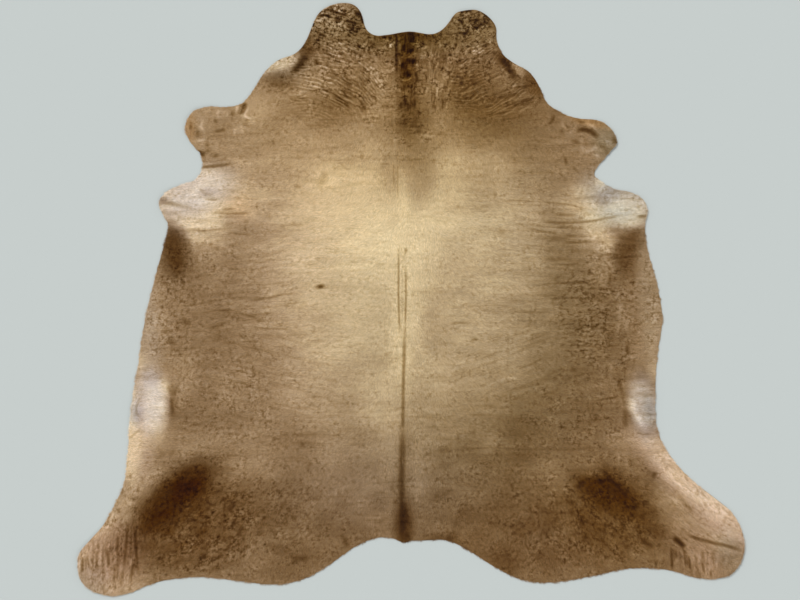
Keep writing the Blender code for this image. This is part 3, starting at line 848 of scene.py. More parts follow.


# Rows named for creases, folds, wrinkles, slits, notches, furrows and hollows paint shade into the
# coat, and rows named for ridges, rims, steps or wrinkle light paint highlights; a row's painted side
# light brightens its left side and darkens its right. The rest are dark and pale marks.
LINES = tuple(Lines(*row) for row in (
    # painted shade in thin creases along the spine
    ("spine, crease lines", 3.2, 0.34, 0, -0.4, (
        (-43, 180, -44, 20, -40, -120), (-18, 120, -18, 0, -22, -160),
    )),
    ("withers, thin lines", 2.6, 0.17, 0, -0.3, ((-61, 480, -60, 392), (-47, 480, -46, 352))),
    # painted shade in the spine's creases
    ("spine, crease", 5, 0.4, 0, -1, ((-21, -80, -27, -300, -30, -580),)),
    ("spine, tail crease", 8.5, 0.55, 0, -1.4, ((-29, -450, -33, -650, -28, -850),)),
    # painted light on the left of a step along the spine and painted shade on its right
    ("spine, step, painted light and shade", 6, -0.05, 0.13, 0.3, ((-63, 890, -64, 770, -62, 620, -59, 480),)),
    ("neck, left line", 4, 0.9, 0, -0.6, ((-51, 925, -52, 860, -51, 795),)),
    # painted highlights on fine ridges of the neck
    ("neck, ridges, painted highlight", 4.2, -0.22, 0, 0.6, (
        (-38, 912, -39, 860, -41, 805), (-71, 900, -72, 858),
        (-56, 752, -37, 727, -8, 726, 13, 747), (87, 903, 83, 878), (55, 894, 51, 865, 43, 840),
        (64, 836, 76, 777), (30, 806, 60, 802), (51, 726, 60, 744),
    )),
    # painted highlights on fine ridges across the mane
    ("mane, ridges, painted highlight", 3, -0.4, 0, 0.6, (
        (-10, 861, 6, 856, 24, 866), (-16, 850, 2, 847, 18, 842), (-8, 898, 10, 894, 28, 897),
        (-14, 821, 6, 820, 30, 823), (-14, 808, 4, 805),
        (-46, 796, -40, 776, -28, 765, -6, 770, 8, 783), (30, 842, 46, 850),
    )),
    ("neck, dark hooks", 4.8, 0.6, 0, -0.4, (
        (-159, 893, -138, 897, -122, 887), (-151, 876, -144, 858), (-336, 843, -324, 822),
        (-361, 786, -358, 778), (-84, 892, -78, 878),
    )),
    # painted shade in folds of the neck
    ("neck, folds, painted shade", 8, 0.26, 0, -0.5, (
        (-224, 778, -208, 728), (-176, 700, -160, 650), (200, 770, 230, 755),
    )),
    ("left cheek, bands", 4, 1.15, 0, 0, (
        (-324, 988, -302, 996, -277, 987), (-270, 985, -252, 980, -238, 982),
        (-298, 1014, -268, 1006, -240, 996, -216, 992),
        (-187, 1012, -176, 996, -168, 974, -165, 960), (-235, 975, -216, 972, -200, 968, -188, 958),
        (-228, 955, -211, 951, -201, 939, -184, 935),
    )),
    ("left cheek, marks", 3.8, 1, 0, 0, (
        (-264, 969, -254, 967), (-234, 1015, -227, 1007), (-325, 928, -312, 926, -296, 919),
        (-334, 910, -321, 906), (-341, 894, -337, 890), (-294, 894, -288, 891),
        (-237, 940, -232, 937), (-257, 911, -252, 907), (-199, 888, -193, 886),
        (-183, 886, -177, 882), (-346, 966, -338, 952), (-196, 1004, -186, 990),
        (-206, 958, -196, 954), (-192, 950, -176, 944), (-222, 928, -212, 921),
        (-300, 950, -290, 946),
    )),
    ("right cheek, bands", 4, 1.05, 0, 0, (
        (200, 974, 222, 977, 244, 978), (250, 979, 272, 981), (165, 979, 178, 971, 183, 962),
        (160, 932, 185, 932, 208, 940), (212, 942, 230, 950, 240, 957, 259, 967, 279, 962),
        (182, 1010, 214, 1009), (246, 1006, 264, 994, 280, 978),
    )),
    ("right cheek, marks", 3.8, 0.95, 0, 0, (
        (209, 998, 215, 994), (234, 996, 241, 992), (185, 959, 190, 955), (197, 951, 204, 948),
        (160, 914, 158, 906), (158, 894, 155, 882), (194, 886, 206, 884), (130, 858, 142, 853),
        (180, 920, 192, 917), (259, 886, 265, 884), (284, 866, 294, 858), (170, 990, 186, 996),
        (218, 962, 232, 966),
    )),
    ("mane, dark locks", 6.2, 0.8, 0, 0.6, (
        (-10, 940, 0, 915, -6, 885), (2, 936, 10, 912), (-24, 893, -26, 868),
        (-20, 838, 0, 834, 18, 836), (-10, 872, 12, 874), (-18, 798, -10, 784, 0, 790),
        (-30, 830, -26, 806),
    )),
    ("mane, thin locks", 4, 0.62, 0, 0.4, (
        (-24, 790, -21, 776), (14, 796, 22, 772, 18, 758), (6, 756, 2, 738, -6, 720),
        (-8, 752, -10, 742), (-20, 704, -22, 672), (12, 704, 13, 670), (4, 690, 6, 674),
        (-34, 692, -36, 664), (24, 660, 34, 646), (-12, 690, -12, 668),
    )),
    ("mane, last locks", 7.5, 0.24, 0, 0.4, (
        (-44, 632, -36, 604), (-22, 632, -20, 608), (10, 650, 16, 606), (20, 600, 38, 585),
    )),
    # painted shade in folds at the jaws
    ("jaws, folds, painted shade", 10, 0.7, 0, -1.4, (
        (-412, 790, -388, 822, -366, 858), (314, 856, 324, 836, 343, 811, 360, 784, 374, 768),
    )),
    # painted shade in the creases and folds of the flaps and the armpit
    ("armpit and flap creases", 5, 0.42, 0, -1.2, (
        (-745, 462, -690, 466, -620, 475), (790, 289, 825, 291),
    )),
    ("flap creases", 4, 0.26, 0.05, -1, (
        (-725, 352, -690, 348, -672, 352), (460, 271, 550, 269, 620, 272, 670, 282, 740, 296),
        (525, 197, 580, 200, 640, 203), (500, 300, 530, 296, 580, 294),
        (-700, 305, -650, 301, -560, 302), (-665, 315, -615, 318),
    )),
    ("left flap, tip fold, painted shade", 7, 0.2, 0, -1, ((-885, 350, -850, 339, -805, 326, -755, 318),)),
    ("left flap, foot crease", 3.6, 0.17, 0.04, -0.8, (
        (-790, 249, -730, 241, -660, 246, -590, 254),
    )),
    # painted shade in the hollow of the left flap
    ("left flap, hollow", 6, 0.12, 0, -0.8, ((-740, 388, -722, 370, -690, 366),)),
    # painted highlight along a ridge of the right flap
    ("flap ridge, painted highlight", 5, -0.1, 0.04, 0.8, (
        (540, 210, 620, 212, 680, 223, 740, 232, 800, 238),
    )),
    # painted shade in fine wrinkles of the right side, with painted light beside them
    ("right side, painted wrinkle shade", 3.4, 0.18, 0.05, -0.6, (
        (690, 138, 730, 148, 760, 150, 800, 149), (430, 238, 480, 236, 515, 231),
        (540, 224, 575, 221), (450, 343, 550, 333, 615, 317), (650, 150, 680, 157, 706, 154),
        (505, 122, 550, 122, 585, 125), (420, 44, 470, 55, 540, 58, 600, 62, 652, 50),
        (480, 4, 570, 6, 660, 1), (690, -12, 740, -2, 792, -11),
        (755, -87, 800, -86, 832, -64, 862, -34), (545, -145, 580, -160, 660, -166, 735, -159),
        (640, -355, 700, -345, 732, -334), (700, -450, 742, -466),
        (370, -245, 420, -226, 465, -203), (135, -83, 195, -81), (560, 470, 590, 440),
    )),
    # painted light on the raised edges of wrinkles
    ("right side, painted wrinkle light", 4, -0.08, 0.06, 0.6, (
        (265, -307, 305, -286, 340, -275, 385, -281), (650, -256, 700, -246, 732, -226, 757, -188),
        (650, -238, 690, -230, 718, -212), (640, 168, 655, 176, 672, 168),
        (700, 12, 735, -22, 745, -34),
    )),
    ("right side, blots", 7, 0.26, 0, -0.4, (
        (664, -54, 678, -38), (720, -143, 748, -132), (566, -112, 600, -100),
        (690, -110, 700, -122), (684, -144, 700, -140), (634, -86, 650, -92),
        (755, -165, 760, -188), (560, -238, 578, -252), (580, -288, 588, -300),
        (696, 100, 700, 76, 688, 52), (726, -260, 733, -310, 746, -350), (748, -385, 752, -450),
    )),
    # painted shade in fine wrinkles of the left side, with painted light beside them
    ("left side, painted wrinkle shade", 3.4, 0.17, 0.05, -0.6, (
        (-650, 236, -600, 230, -560, 228), (-640, 108, -600, 107),
        (-575, -5, -500, 6, -450, 18, -400, 20), (-665, -38, -628, -34),
        (-612, -45, -570, -55, -530, -69), (-568, -93, -540, -97, -500, -101, -420, -104),
        (-715, -103, -665, -90, -640, -74), (-625, -151, -570, -145, -520, -147),
        (-108, 474, -75, 475), (-67, 487, -10, 489, 50, 492), (-988, -488, -950, -455),
    )),
    # painted light on the raised edges of wrinkles
    ("left side, painted wrinkle light", 4, -0.07, 0.07, 0.6, (
        (-575, 89, -520, 100, -450, 110, -380, 110), (-665, 44, -600, 50, -530, 62, -475, 73),
        (-725, -226, -690, -210, -655, -200), (-560, 139, -510, 142, -460, 147),
        (-940, -560, -870, -562, -800, -560),
    )),
    ("left side, blots", 6.5, 0.26, 0, -0.4, (
        (-535, -70, -528, -80), (-408, 397, -386, 393), (-580, 272, -570, 268),
        (-455, 257, -445, 254), (-688, 181, -672, 176), (-865, -102, -855, -118),
        (-846, -120, -840, -150, -822, -156), (-800, -60, -784, -90), (-852, -300, -834, -336),
        (-814, -300, -832, -338), (-178, 504, -166, 494), (-90, -188, -80, -197),
    )),
    # painted shade in a slit and in fine folds of the flanks
    ("left flank, slit", 5, 0.3, 0, -1, ((-838, -340, -836, -375, -832, -402),)),
    ("flanks, fine folds", 4, 0.16, 0, -0.6, (
        (-945, -340, -960, -372, -960, -398, -945, -414), (856, -416, 846, -440, 838, -456),
        (786, -462, 812, -474, 840, -470), (812, -338, 832, -333, 850, -336),
        (790, -328, 806, -330), (764, -350, 772, -362, 770, -378), (822, -396, 838, -402),
    )),
    # painted highlight on the flank's raised rim
    ("right flank, rim, painted highlight", 9, -0.08, 0, 0.8, ((768, -345, 786, -400, 822, -456),)),
    # Down to the last row of the hind legs, painted shade in their wrinkles, crease and slit.
    ("left hind leg, wrinkles", 4.8, 0.46, 0, -1.2, (
        (-990, -780, -998, -860, -1004, -940), (-1024, -825, -1029, -885),
        (-1062, -865, -1057, -935), (-966, -795, -962, -870, -955, -960),
        (-1146, -905, -1151, -955),
    )),
    ("left hind leg, faint wrinkles", 4.5, 0.28, 0, -0.8, (
        (-1101, -875, -1096, -955), (-1134, -895, -1120, -945), (-1034, -920, -1040, -1005),
        (-1012, -945, -1016, -1005), (-976, -925, -980, -995), (-932, -815, -930, -850),
    )),
    ("right hind leg, crease", 5.2, 0.5, 0, -1.2, (
        (960, -822, 1010, -839, 1060, -852, 1100, -860, 1160, -879),
    )),
    ("right hind leg, slit", 7.5, 1.1, 0, -1.2, ((918, -832, 940, -850, 958, -868),)),
    ("right hind leg, wrinkles", 4.2, 0.46, 0, -1, (
        (910, -865, 914, -945), (926, -875, 928, -905), (954, -868, 962, -935),
        (970, -895, 977, -945), (1019, -915, 1026, -960), (1046, -945, 1050, -972),
        (855, -915, 858, -935),
    )),
    ("thighs, dark spots", 7, 0.42, 0, -0.4, (
        (-712, -728, -708, -742), (-628, -784, -610, -776), (-606, -828, -590, -800),
        (-864, -786, -852, -782), (-734, -886, -718, -908), (-642, -738, -612, -710),
        (-690, -578, -678, -572), (-884, -898, -876, -912), (-702, -644, -696, -652),
        (578, -662, 606, -632), (656, -646, 670, -632), (676, -612, 706, -638, 740, -664),
        (746, -678, 754, -692), (778, -716, 784, -738), (806, -716, 832, -710),
        (562, -704, 566, -718), (592, -764, 602, -802), (602, -828, 618, -836),
        (800, -838, 850, -868), (856, -602, 844, -626),
    )),
    ("rump, dark marks", 9, 0.3, 0, -0.4, (
        (-236, -826, -222, -868), (-424, -912, -356, -904), (-60, -700, -48, -710),
        (124, -828, 146, -842), (350, -792, 368, -796), (440, -892, 452, -908),
    )),
    # painted shade in a fold of the rump, with painted light and shade on its sides
    ("rump, fold", 4.5, 0.12, 0.06, -0.5, (
        (150, -522, 280, -518, 400, -523, 560, -524, 700, -508),
    )),
    ("back, blemish", 6, 1, 0, -0.4, ((-331, 43, -303, 47),)),
    ("back, dots", 5, 0.55, 0, 0, (
        (-18, 178, -18, 164), (219, -138, 231, -140),
    )),
    ("right foreleg, streak", 7, 0.75, 0, -0.8, ((580, 589, 602, 596, 628, 587, 656, 568),)),
    ("right foreleg, dark marks", 5, 0.36, 0, -0.6, (
        (503, 648, 496, 626, 478, 610), (582, 627, 602, 615), (540, 608, 556, 600),
        (656, 537, 686, 529), (679, 519, 688, 507), (706, 566, 720, 543), (520, 590, 534, 583),
        (538, 500, 544, 470), (560, 556, 590, 548),
    )),
    ("right foreleg, light marks", 5.5, -0.2, 0, 0.6, (
        (528, 622, 540, 600), (575, 604, 560, 585, 546, 566),
        (592, 552, 602, 522, 628, 515, 652, 542), (606, 617, 630, 612, 652, 588),
        (682, 552, 700, 548), (646, 510, 655, 494),
    )),
    # painted shade in a notch crease of the left foreleg
    ("left foreleg, notch", 6, 0.9, 0, -1.2, (
        (-580, 690, -586, 668, -597, 644), (-742, 520, -724, 502),
    )),
    ("left foreleg, dark marks", 5.5, 0.38, 0, -0.6, (
        (-770, 614, -769, 592), (-690, 588, -668, 589, -648, 598), (-638, 610, -630, 606),
        (-580, 630, -568, 627), (-584, 612, -574, 608), (-684, 632, -682, 616),
        (-630, 662, -623, 640), (-744, 592, -748, 568), (-722, 521, -700, 518),
        (-695, 500, -672, 505), (-720, 540, -706, 540),
    )),
    ("left foreleg, light marks", 5, -0.2, 0, 0.6, (
        (-606, 680, -610, 652), (-570, 672, -584, 644, -552, 626),
        (-668, 668, -677, 648, -672, 628), (-636, 660, -645, 636),
        (-728, 630, -734, 605, -724, 586), (-618, 600, -616, 574), (-596, 610, -586, 582),
        (-745, 553, -720, 560),
    )),
    ("spine, side branch", 6, 0.35, 0, -0.8, (
        (-26, -700, -15, -758, -10, -795), (-22, -822, -6, -834),
    )),
    ("faint patches", 11, 0.14, 0, 0, (
        (-655, 260, -625, 257), (-578, -186, -562, -194), (-538, -196, -524, -204),
        (-690, -125, -672, -136), (-328, 397, -305, 420, -302, 450), (300, 235, 330, 236),
        (-838, -528, -828, -538), (646, -412, 658, -424), (755, -560, 787, -573),
        (211, -466, 220, -474), (80, -684, 96, -692), (148, -786, 160, -789),
        (294, -896, 308, -904), (-520, -766, -512, -775), (-450, -772, -430, -781),
        (-300, -797, -286, -804), (-362, -574, -348, -582), (90, -528, 145, -525),
        (286, -529, 318, -539), (-388, -504, -372, -510),
    )),
    ("small dots", 5, 0.26, 0, 0, (
        (-413, 271, -407, 269), (-93, 401, -87, 399), (162, 327, 168, 324), (198, 432, 203, 429),
        (228, 322, 233, 319), (-689, -478, -683, -482), (-520, -639, -513, -645),
        (619, -373, 625, -378), (744, -350, 750, -366), (508, -785, 513, -795),
    )),
    ("light patches", 11, -0.08, 0, 0, (
        (-840, -80, -835, -120), (755, -590, 800, -613, 830, -645), (-852, -828, -838, -837),
        (-890, -785, -878, -795), (238, -702, 246, -708), (141, -687, 149, -693),
        (398, -912, 408, -918), (534, -835, 542, -841), (-268, -674, -256, -680),
        (-184, -717, -172, -723), (725, 40, 728, -40, 722, -130),
    )),
    # painted shade in a furrow of the right thigh
    ("right thigh, furrow", 9, 0.2, 0, -0.8, ((925, -670, 950, -702, 985, -745),)),
))


class Ripple(NamedTuple):
    """An area of parallel ripples: their direction at its middle, how they bend and their size."""

    place: str
    area: Oval
    layer: int  # the areas of one layer hardly touch
    turn: float
    radius: float  # of their bend, to the right of their direction; 0 is straight
    pitch: float
    wander: float  # how far the crests stray, by the pitch
    # how strongly light is painted on their crests and shade in their troughs
    shade: float
    height: float


# A ripple's profile: how far it rises, how much narrower its crest is and how deep its trough. It
# shapes both the relief and the light painted on the crests and the shade painted in the troughs.
RIPPLE_RISE = 2.0
RIPPLE_CREST = 2.6
RIPPLE_TROUGH = 0.56

RIPPLES = rows(
    Ripple,
    ("left neck", (-270, 770, 160, 130), 0, -22, 265, 12, 0.45, 0.185, 0.8),
    ("right neck", (280, 750, 150, 120), 0, 24, -260, 12, 0.45, 0.175, 0.8),
    ("left neck, inner", (-130, 790, 50, 110), 1, -44, 0, 12, 0.7, 0.115, 0.6),
    ("right neck, inner", (110, 780, 50, 120), 1, 80, 0, 16, 0.8, 0.13, 0.6),
    ("left neck, upper", (-280, 880, 80, 40), 1, -30, 0, 13, 0.7, 0.11, 0.8),
    ("right neck, upper", (220, 880, 80, 50), 1, 30, 0, 13, 0.7, 0.15, 0.8),
    ("mane", (10, 800, 60, 120), 0, 4, 0, 19, 0.5, 0.06, 0.6),
    ("left hind leg", (-1030, -910, 70, 80), 0, 86, 0, 24, 0.3, 0.05, 1.2),
    ("right hind leg", (1000, -920, 90, 40), 0, 94, 0, 24, 0.3, 0.06, 1.2),
    ("left flap", (-720, 330, 140, 70), 0, 2, 0, 30, 0.4, 0.012, 0.6),
    ("right flap", (740, 260, 100, 100), 0, -4, 0, 28, 0.4, 0.012, 0.6),
    ("left side, wrinkles", (-560, 20, 300, 380), 1, 4, 0, 34, 0.8, 0.025, 0.4),
    ("right side, wrinkles", (560, 20, 300, 380), 1, -3, 0, 30, 0.8, 0.022, 0.4),
)


class Flow(NamedTuple):
    """A place on the left half and the way the hair lies there, in degrees from +X."""

    place: str
    x: float
    y: float
    heading: float


# The right half mirrors these.
FLOWS = tuple(Flow(*row) for row in (
    ("front edge", 0, 900, -90),
    ("crest", 0, 700, -90),
    ("withers", 0, 450, -90),
    ("spine, front", 0, 150, -90),
    ("spine, middle", 0, -150, -90),
    ("loin", 0, -450, -90),
    ("tail", 0, -800, -90),
    ("neck", -200, 780, -108),
    ("cheek", -260, 980, -110),
    ("jaw", -420, 800, -135),
    ("shoulder, upper", -250, 550, -125),
    ("shoulder", -500, 550, -155),
    ("foreleg", -720, 600, -175),
    ("armpit", -620, 420, -170),
    ("brisket flap", -800, 340, 178),
    ("ribs, front", -220, 220, -163),
    ("ribs, middle", -220, -100, -163),
    ("side, front", -520, 180, -168),
    ("side", -520, -150, -168),
    ("belly", -840, -50, -172),
    ("elbow", -800, 150, -160),
    ("flank fold", -900, -360, 176),
    ("loin side", -250, -420, -150),
    ("flank", -600, -420, -160),
    ("rump", -280, -740, -125),
    ("buttock", -500, -900, -110),
    ("thigh", -760, -720, -142),
    ("hind leg", -1020, -880, -136),
    ("hind leg end", -1120, -980, -125),
))


class Hair(NamedTuple):
    """An area of the hide and the length, width and standing height of its hair."""

    place: str
    area: Oval
    length: float
    width: float
    stand: float


HAIRS = rows(
    Hair,
    ("body", ALL_OVER, 13.5, 1.5, 2.2),
    ("neck", (0, 860, 600, 200, 0, 0.2), 7.8, 1.15, 1.5),
    ("left cheek", (-250, 970, 130, 90, 0, 0.3), 5.5, 1.15, 1.3),
    ("right cheek", (220, 970, 120, 90, 0, 0.3), 5.5, 1.15, 1.3),
    ("left hind leg", (-1100, -940, 140, 120), 11, 1.3, 1.7),
    ("right hind leg", (1100, -900, 140, 120), 11, 1.3, 1.7),
    ("mane", (-10, 800, 50, 160), 6.5, 1.2, 2.2),
)


@dataclass
class Lie:
    """How the hide lies on the floor, with its ripples and creases."""

    hide: HideFrame
    skin_thickness: float = 0.0026
    thinnest: float = 0.0012

    # The noise that bends ripples and that fades them in patches: seed, length, width in pitches.
    BENDS, PATCHES = (500, 5, 3), (550, 3, 2)
    PATCH_MEAN, PATCH_SPREAD = 0.6, 0.4

    def _ripple(self, index: int, x: Floats, y: Floats) -> tuple[Floats, Floats, Floats]:
        """The points that an area of ripples touches.

        Args:
            index: the area's place in the table.
            x, y: the points' places.

        Returns:
            The points' indices, each one's place across the ripples in pitches, and the ripples'
            share there from 0 to 1.
        """
        row = RIPPLES[index]
        found, share = row.area.reach(x, y)
        x, y = x[found] / MM, y[found] / MM
        along, across = turned(x - row.area.x, y - row.area.y, row.turn)
        if row.radius:
            bent = np.hypot(along, across + row.radius) - abs(row.radius)
            across = math.copysign(1.0, row.radius) * bent
        wander, patches = (
            Noise(seed + index, length * row.pitch, width * row.pitch, row.turn).at(x, y)
            for seed, length, width in (self.BENDS, self.PATCHES)
        )
        patches = smooth_step(self.PATCH_MEAN + self.PATCH_SPREAD * patches)
        return found, across / row.pitch + row.wander * wander, share * patches

    def ripples(self, layer: int, x: Floats, y: Floats) -> Floats:
        """What the finishes read of one layer of ripples, for the light and shade painted on them.

        Args:
            layer: which layer it is.
            x, y: the points' places.

        Returns:
            For each point its place across the ripples in pitches, how far their painted light and
            shade change it, and 0.
        """
        place, shade = np.zeros_like(x), np.zeros_like(x)
        for index, row in enumerate(RIPPLES):
            if row.layer == layer:
                found, pitches, share = self._ripple(index, x, y)
                stronger = row.shade * share > shade[found]
                place[found] = np.where(stronger, pitches, place[found])
                shade[found] = np.where(stronger, row.shade * share, shade[found])
        return np.column_stack([place, shade, np.zeros_like(x)])

    def relief(self, x: Floats, y: Floats) -> Floats:
        """How far the hair side stands above or below its even height.

        Args:
            x, y: the points' places.

        Returns:
            A height for each point.
        """
        height = np.zeros_like(x)
        for index, row in enumerate(RIPPLES):
            found, pitches, share = self._ripple(index, x, y)
            crest = (0.5 + 0.5 * np.cos(2 * math.pi * pitches)) ** RIPPLE_CREST
            height[found] += row.height * share * (RIPPLE_RISE * crest - RIPPLE_TROUGH)
        for row in LINES:
            for points in row.runs:
                found, side, ends = Run(points, row.half_width).near(x, y)
                height[found] += row.height * smooth_step(1 - np.abs(side) / LINE_REACH) * ends
        return MM * height

    def top(self, x: Floats, y: Floats) -> Floats:
        """The height of the skin's hair side."""
        height = self.hide.lift.at(x, y) + self.skin_thickness + self.relief(x, y)
        return np.maximum(height, self.thinnest)

    def bottom(self, x: Floats, y: Floats) -> Floats:
        """The height of the skin's flesh side."""
        return np.maximum(self.top(x, y) - self.skin_thickness, 0.0)


@dataclass
class Coat:
    """The colour of the hair all over the hide."""

    lie: Lie
    # Display colours of the hair from its darkest tone to its palest.
    stops: tuple[float, ...] = (0, 27, 57, 87, 117, 147, 177, 207, 240)
    reds: tuple[float, ...] = (22, 55, 83, 112, 141, 170, 198, 223, 246)
    greens: tuple[float, ...] = (6, 27, 55, 85, 114, 144, 174, 201, 236)
    blues: tuple[float, ...] = (0, 4, 25, 54, 82, 111, 138, 162, 222)
    white: float = 255.0  # the palest display value
    gain: float = 1.245  # makes up for the light lost between the strands
    veil: float = 0.002  # light that the hair's gloss adds to its colour
    mottle_seed: int = 200

    def tone(self, x: Floats, y: Floats) -> Floats:
        """The broad tone of the coat.

        Args:
            x, y: the points' places.

        Returns:
            A tone for each point.
        """
        tone = np.full(x.shape, BASE_TONE)
        for row in TONES:
            found, share = row.area.reach(x, y)
            tone[found] += (row.tone - tone[found]) * share * row.cover
        shade = np.zeros_like(x)
        for index, row in enumerate(MOTTLES):
            found, share = row.area.reach(x, y)
            noise = Noise(self.mottle_seed + index, MM * row.length, MM * row.width, row.turn)
            shade[found] += row.shade * share * noise.at(x[found], y[found])
        return tone * np.exp(shade)

    def colour(self, x: Floats, y: Floats) -> Floats:
        """The light colour of the coat.

        Args:
            x, y: the points' places.

        Returns:
            A row of red, green and blue for each point.
        """
        tone = self.tone(x, y)
        bands = (self.reds, self.greens, self.blues)
        display = np.stack([np.interp(tone, self.stops, band) for band in bands], 1)
        for row in TINTS:
            found, share = row.area.reach(x, y)
            display[found] += share[:, None] * np.array([row.red, row.green, row.blue])
        return np.maximum(linear(display / self.white) - self.veil, 0.0) * self.gain

    def layers(self, x: Floats, y: Floats) -> dict[str, Floats]:
        """What the finishes read.

        Args:
            x, y: the points' places.

        Returns:
            By the name of the layer, a row of three numbers for each point.
        """
        return {
            "coat_colour": self.colour(x, y),
            "coat_flecks": self._marks(FLECKS, x, y),
            "coat_streaks": self._marks(STREAKS, x, y),
            "coat_painted_wrinkles": self._marks(PAINTED_WRINKLES, x, y),
            "coat_spots": self._marks(SPOTS, x, y),
            "coat_ripple_shading": self.lie.ripples(0, x, y),
            "coat_cross_ripple_shading": self.lie.ripples(1, x, y),
            "coat_lines": self._lines(x, y),
        }

    @staticmethod
    def _marks(table: tuple[Mark, ...], x: Floats, y: Floats) -> Floats:
        """What the finishes read of one kind of marks.

        Args:
            table: the areas of the marks.
            x, y: the points' places.

        Returns:
            For each point its place along and across the marks by their size, and how far they
            shade it.
        """
        along, across, shade = np.zeros_like(x), np.zeros_like(x), np.zeros_like(x)
        for row in table:
            found, share = row.area.reach(x, y)
            here = found[share >= ON_EDGE]
            ahead, aside = turned(x[here], y[here], row.turn)
            along[here], across[here] = ahead / (MM * row.length), aside / (MM * row.width)
            shade[found] += (row.shade - shade[found]) * share
        return np.column_stack([along, across, shade])

    @staticmethod
    def _lines(x: Floats, y: Floats) -> Floats:
        """What the finishes read of the lines: painted shade in creases, painted highlights on
        ridges, and dark and pale marks.

        Args:
            x, y: the points' places.

        Returns:
            For each point its distance from the nearest line in half widths, how far that line
            darkens or brightens it, and how far it paints light and shade on its sides.
        """
        nearest, shade, painted_side_light = np.full(x.shape, FAR), np.zeros_like(x), np.zeros_like(x)
        for row in LINES:
            for points in row.runs:
                found, side, ends = Run(points, row.half_width).near(x, y)
                nearer = np.abs(side) < np.abs(nearest[found])
                here = found[nearer]
                nearest[here] = side[nearer]
                shade[here] = row.shade * ends[nearer]
                painted_side_light[here] = row.painted_side_light * ends[nearer]
        return np.column_stack([nearest, shade, painted_side_light])


def paint(mesh: Mesh, layers: dict[str, Floats]) -> None:
    """Gives the mesh's points the numbers that the finishes read.

    Args:
        mesh: the mesh.
        layers: by the name of the layer, a row of three numbers for each point.
    """
    for name, values in layers.items():
        attribute = mesh.attributes.new(name, "FLOAT_VECTOR", "POINT")
        attribute.data.foreach_set("vector", values.astype(np.float32).ravel())


@dataclass
class HairFlow:
    """The way the hair lies at each place."""

    blend: float = 0.11  # how far a row's heading carries
    core: float = 0.3  # the share of that within which its pull hardly changes
    wander: float = 14.0  # degrees
    swirls: Noise = Noise(77, 0.045, 0.030)

    def heading(self, x: Floats, y: Floats) -> Floats:
        """The direction of the hair.

        Args:
            x, y: the points' places.

        Returns:
            An angle in radians from +X for each point.
        """
        total_x, total_y = np.zeros_like(x), np.zeros_like(x)
        for row in FLOWS:
            angle = math.radians(row.heading)
            for side in (1, -1) if row.x else (1,):
                away = (x - side * MM * row.x) ** 2 + (y - MM * row.y) ** 2
                weight = 1 / (away + (self.core * self.blend) ** 2) ** 2
                total_x += weight * side * math.cos(angle)
                total_y += weight * math.sin(angle)
        turn = math.radians(self.wander) * self.swirls.at(x, y)
        return np.arctan2(total_y, total_x) + turn


@dataclass(frozen=True)
class HairFinish:
    """Short glossy hair, coloured strand by strand."""

    name: str = "cowhide_hair"
    shade: Span = (0.95, 1.05)
    roughness: Span = (0.55, 0.72)
    gloss: float = 0.05

    def material(self) -> Material:
        """The hair's material, which reads each strand's own colour.

        Returns:
            The material.
        """
        made = Shading(self.name)
        grain = made.noise(scale=900.0, detail=2.0, squash=(1.0, 1.0, 0.4))
        made.link(made.multiply(made.coat(), made.range(grain, *self.shade)), "Base Color")
        made.link(made.range(grain, *self.roughness), "Roughness")
        made.set("Specular IOR Level", self.gloss)
        made.bump(made.noise(scale=1600.0, detail=1.0), strength=0.25, distance=0.0003)
        return made.material


@dataclass(frozen=True)
class UndercoatFinish:
    """The hair side of the skin, which shows between the strands, darkened as painted shade down in
    the pile.
    """

    name: str = "cowhide_undercoat"
    # the coat's colour darkened as painted shade between the strands
    shade: Span = (0.496, 0.744)
    roughness: Span = (0.75, 0.95)
    gloss: float = 0.2

    def material(self) -> Material:
        """The undercoat's material.

        Returns:
            The material.
        """
        made = Shading(self.name)
        grain = made.noise(scale=700.0, detail=3.0)
        made.link(made.multiply(made.coat(), made.range(grain, *self.shade)), "Base Color")
        made.link(made.range(grain, *self.roughness), "Roughness")
        made.set("Specular IOR Level", self.gloss)
        made.bump(grain, strength=0.5, distance=0.0006)
        return made.material


@dataclass(frozen=True)
class SuedeFinish:
    """The flesh side of the skin: pale, napped and a little blotched."""

    name: str = "cowhide_suede"
    pale: Colour = (0.60, 0.53, 0.44)
    dark: Colour = (0.43, 0.36, 0.29)
    shade: Span = (0.86, 1.10)
    roughness: Span = (0.82, 0.98)
    sheen: float = 0.25
    gloss: float = 0.15

    def material(self) -> Material:
        """The suede's material.

        Returns:
            The material.
        """
        made = Shading(self.name)
        blotch = made.noise(scale=9.0, detail=4.0)
        nap = made.noise(scale=420.0, detail=4.0, squash=(1.0, 0.45, 1.0))
        colour = made.ramp(blotch, self.dark, self.pale)
        made.link(made.multiply(colour, made.range(nap, *self.shade)), "Base Color")
        made.link(made.range(nap, *self.roughness), "Roughness")
        made.set("Sheen Weight", self.sheen)
        made.set("Specular IOR Level", self.gloss)
        made.bump(nap, strength=0.6, distance=0.0005)
        return made.material


@dataclass(frozen=True)
class CutEdgeFinish:
    """The cut edge of the skin, where its layers show."""

    name: str = "cowhide_cut_edge"
    pale: Colour = (0.50, 0.40, 0.29)
    dark: Colour = (0.27, 0.19, 0.12)
    roughness: Span = (0.70, 0.90)

    def material(self) -> Material:
        """The cut edge's material.

        Returns:
            The material.
        """
        made = Shading(self.name)
        layers = made.noise(scale=300.0, detail=3.0, squash=(0.25, 0.25, 6.0))
        made.link(made.ramp(layers, self.dark, self.pale), "Base Color")
        made.link(made.range(layers, *self.roughness), "Roughness")
        made.bump(layers, strength=0.5, distance=0.0003)
        return made.material


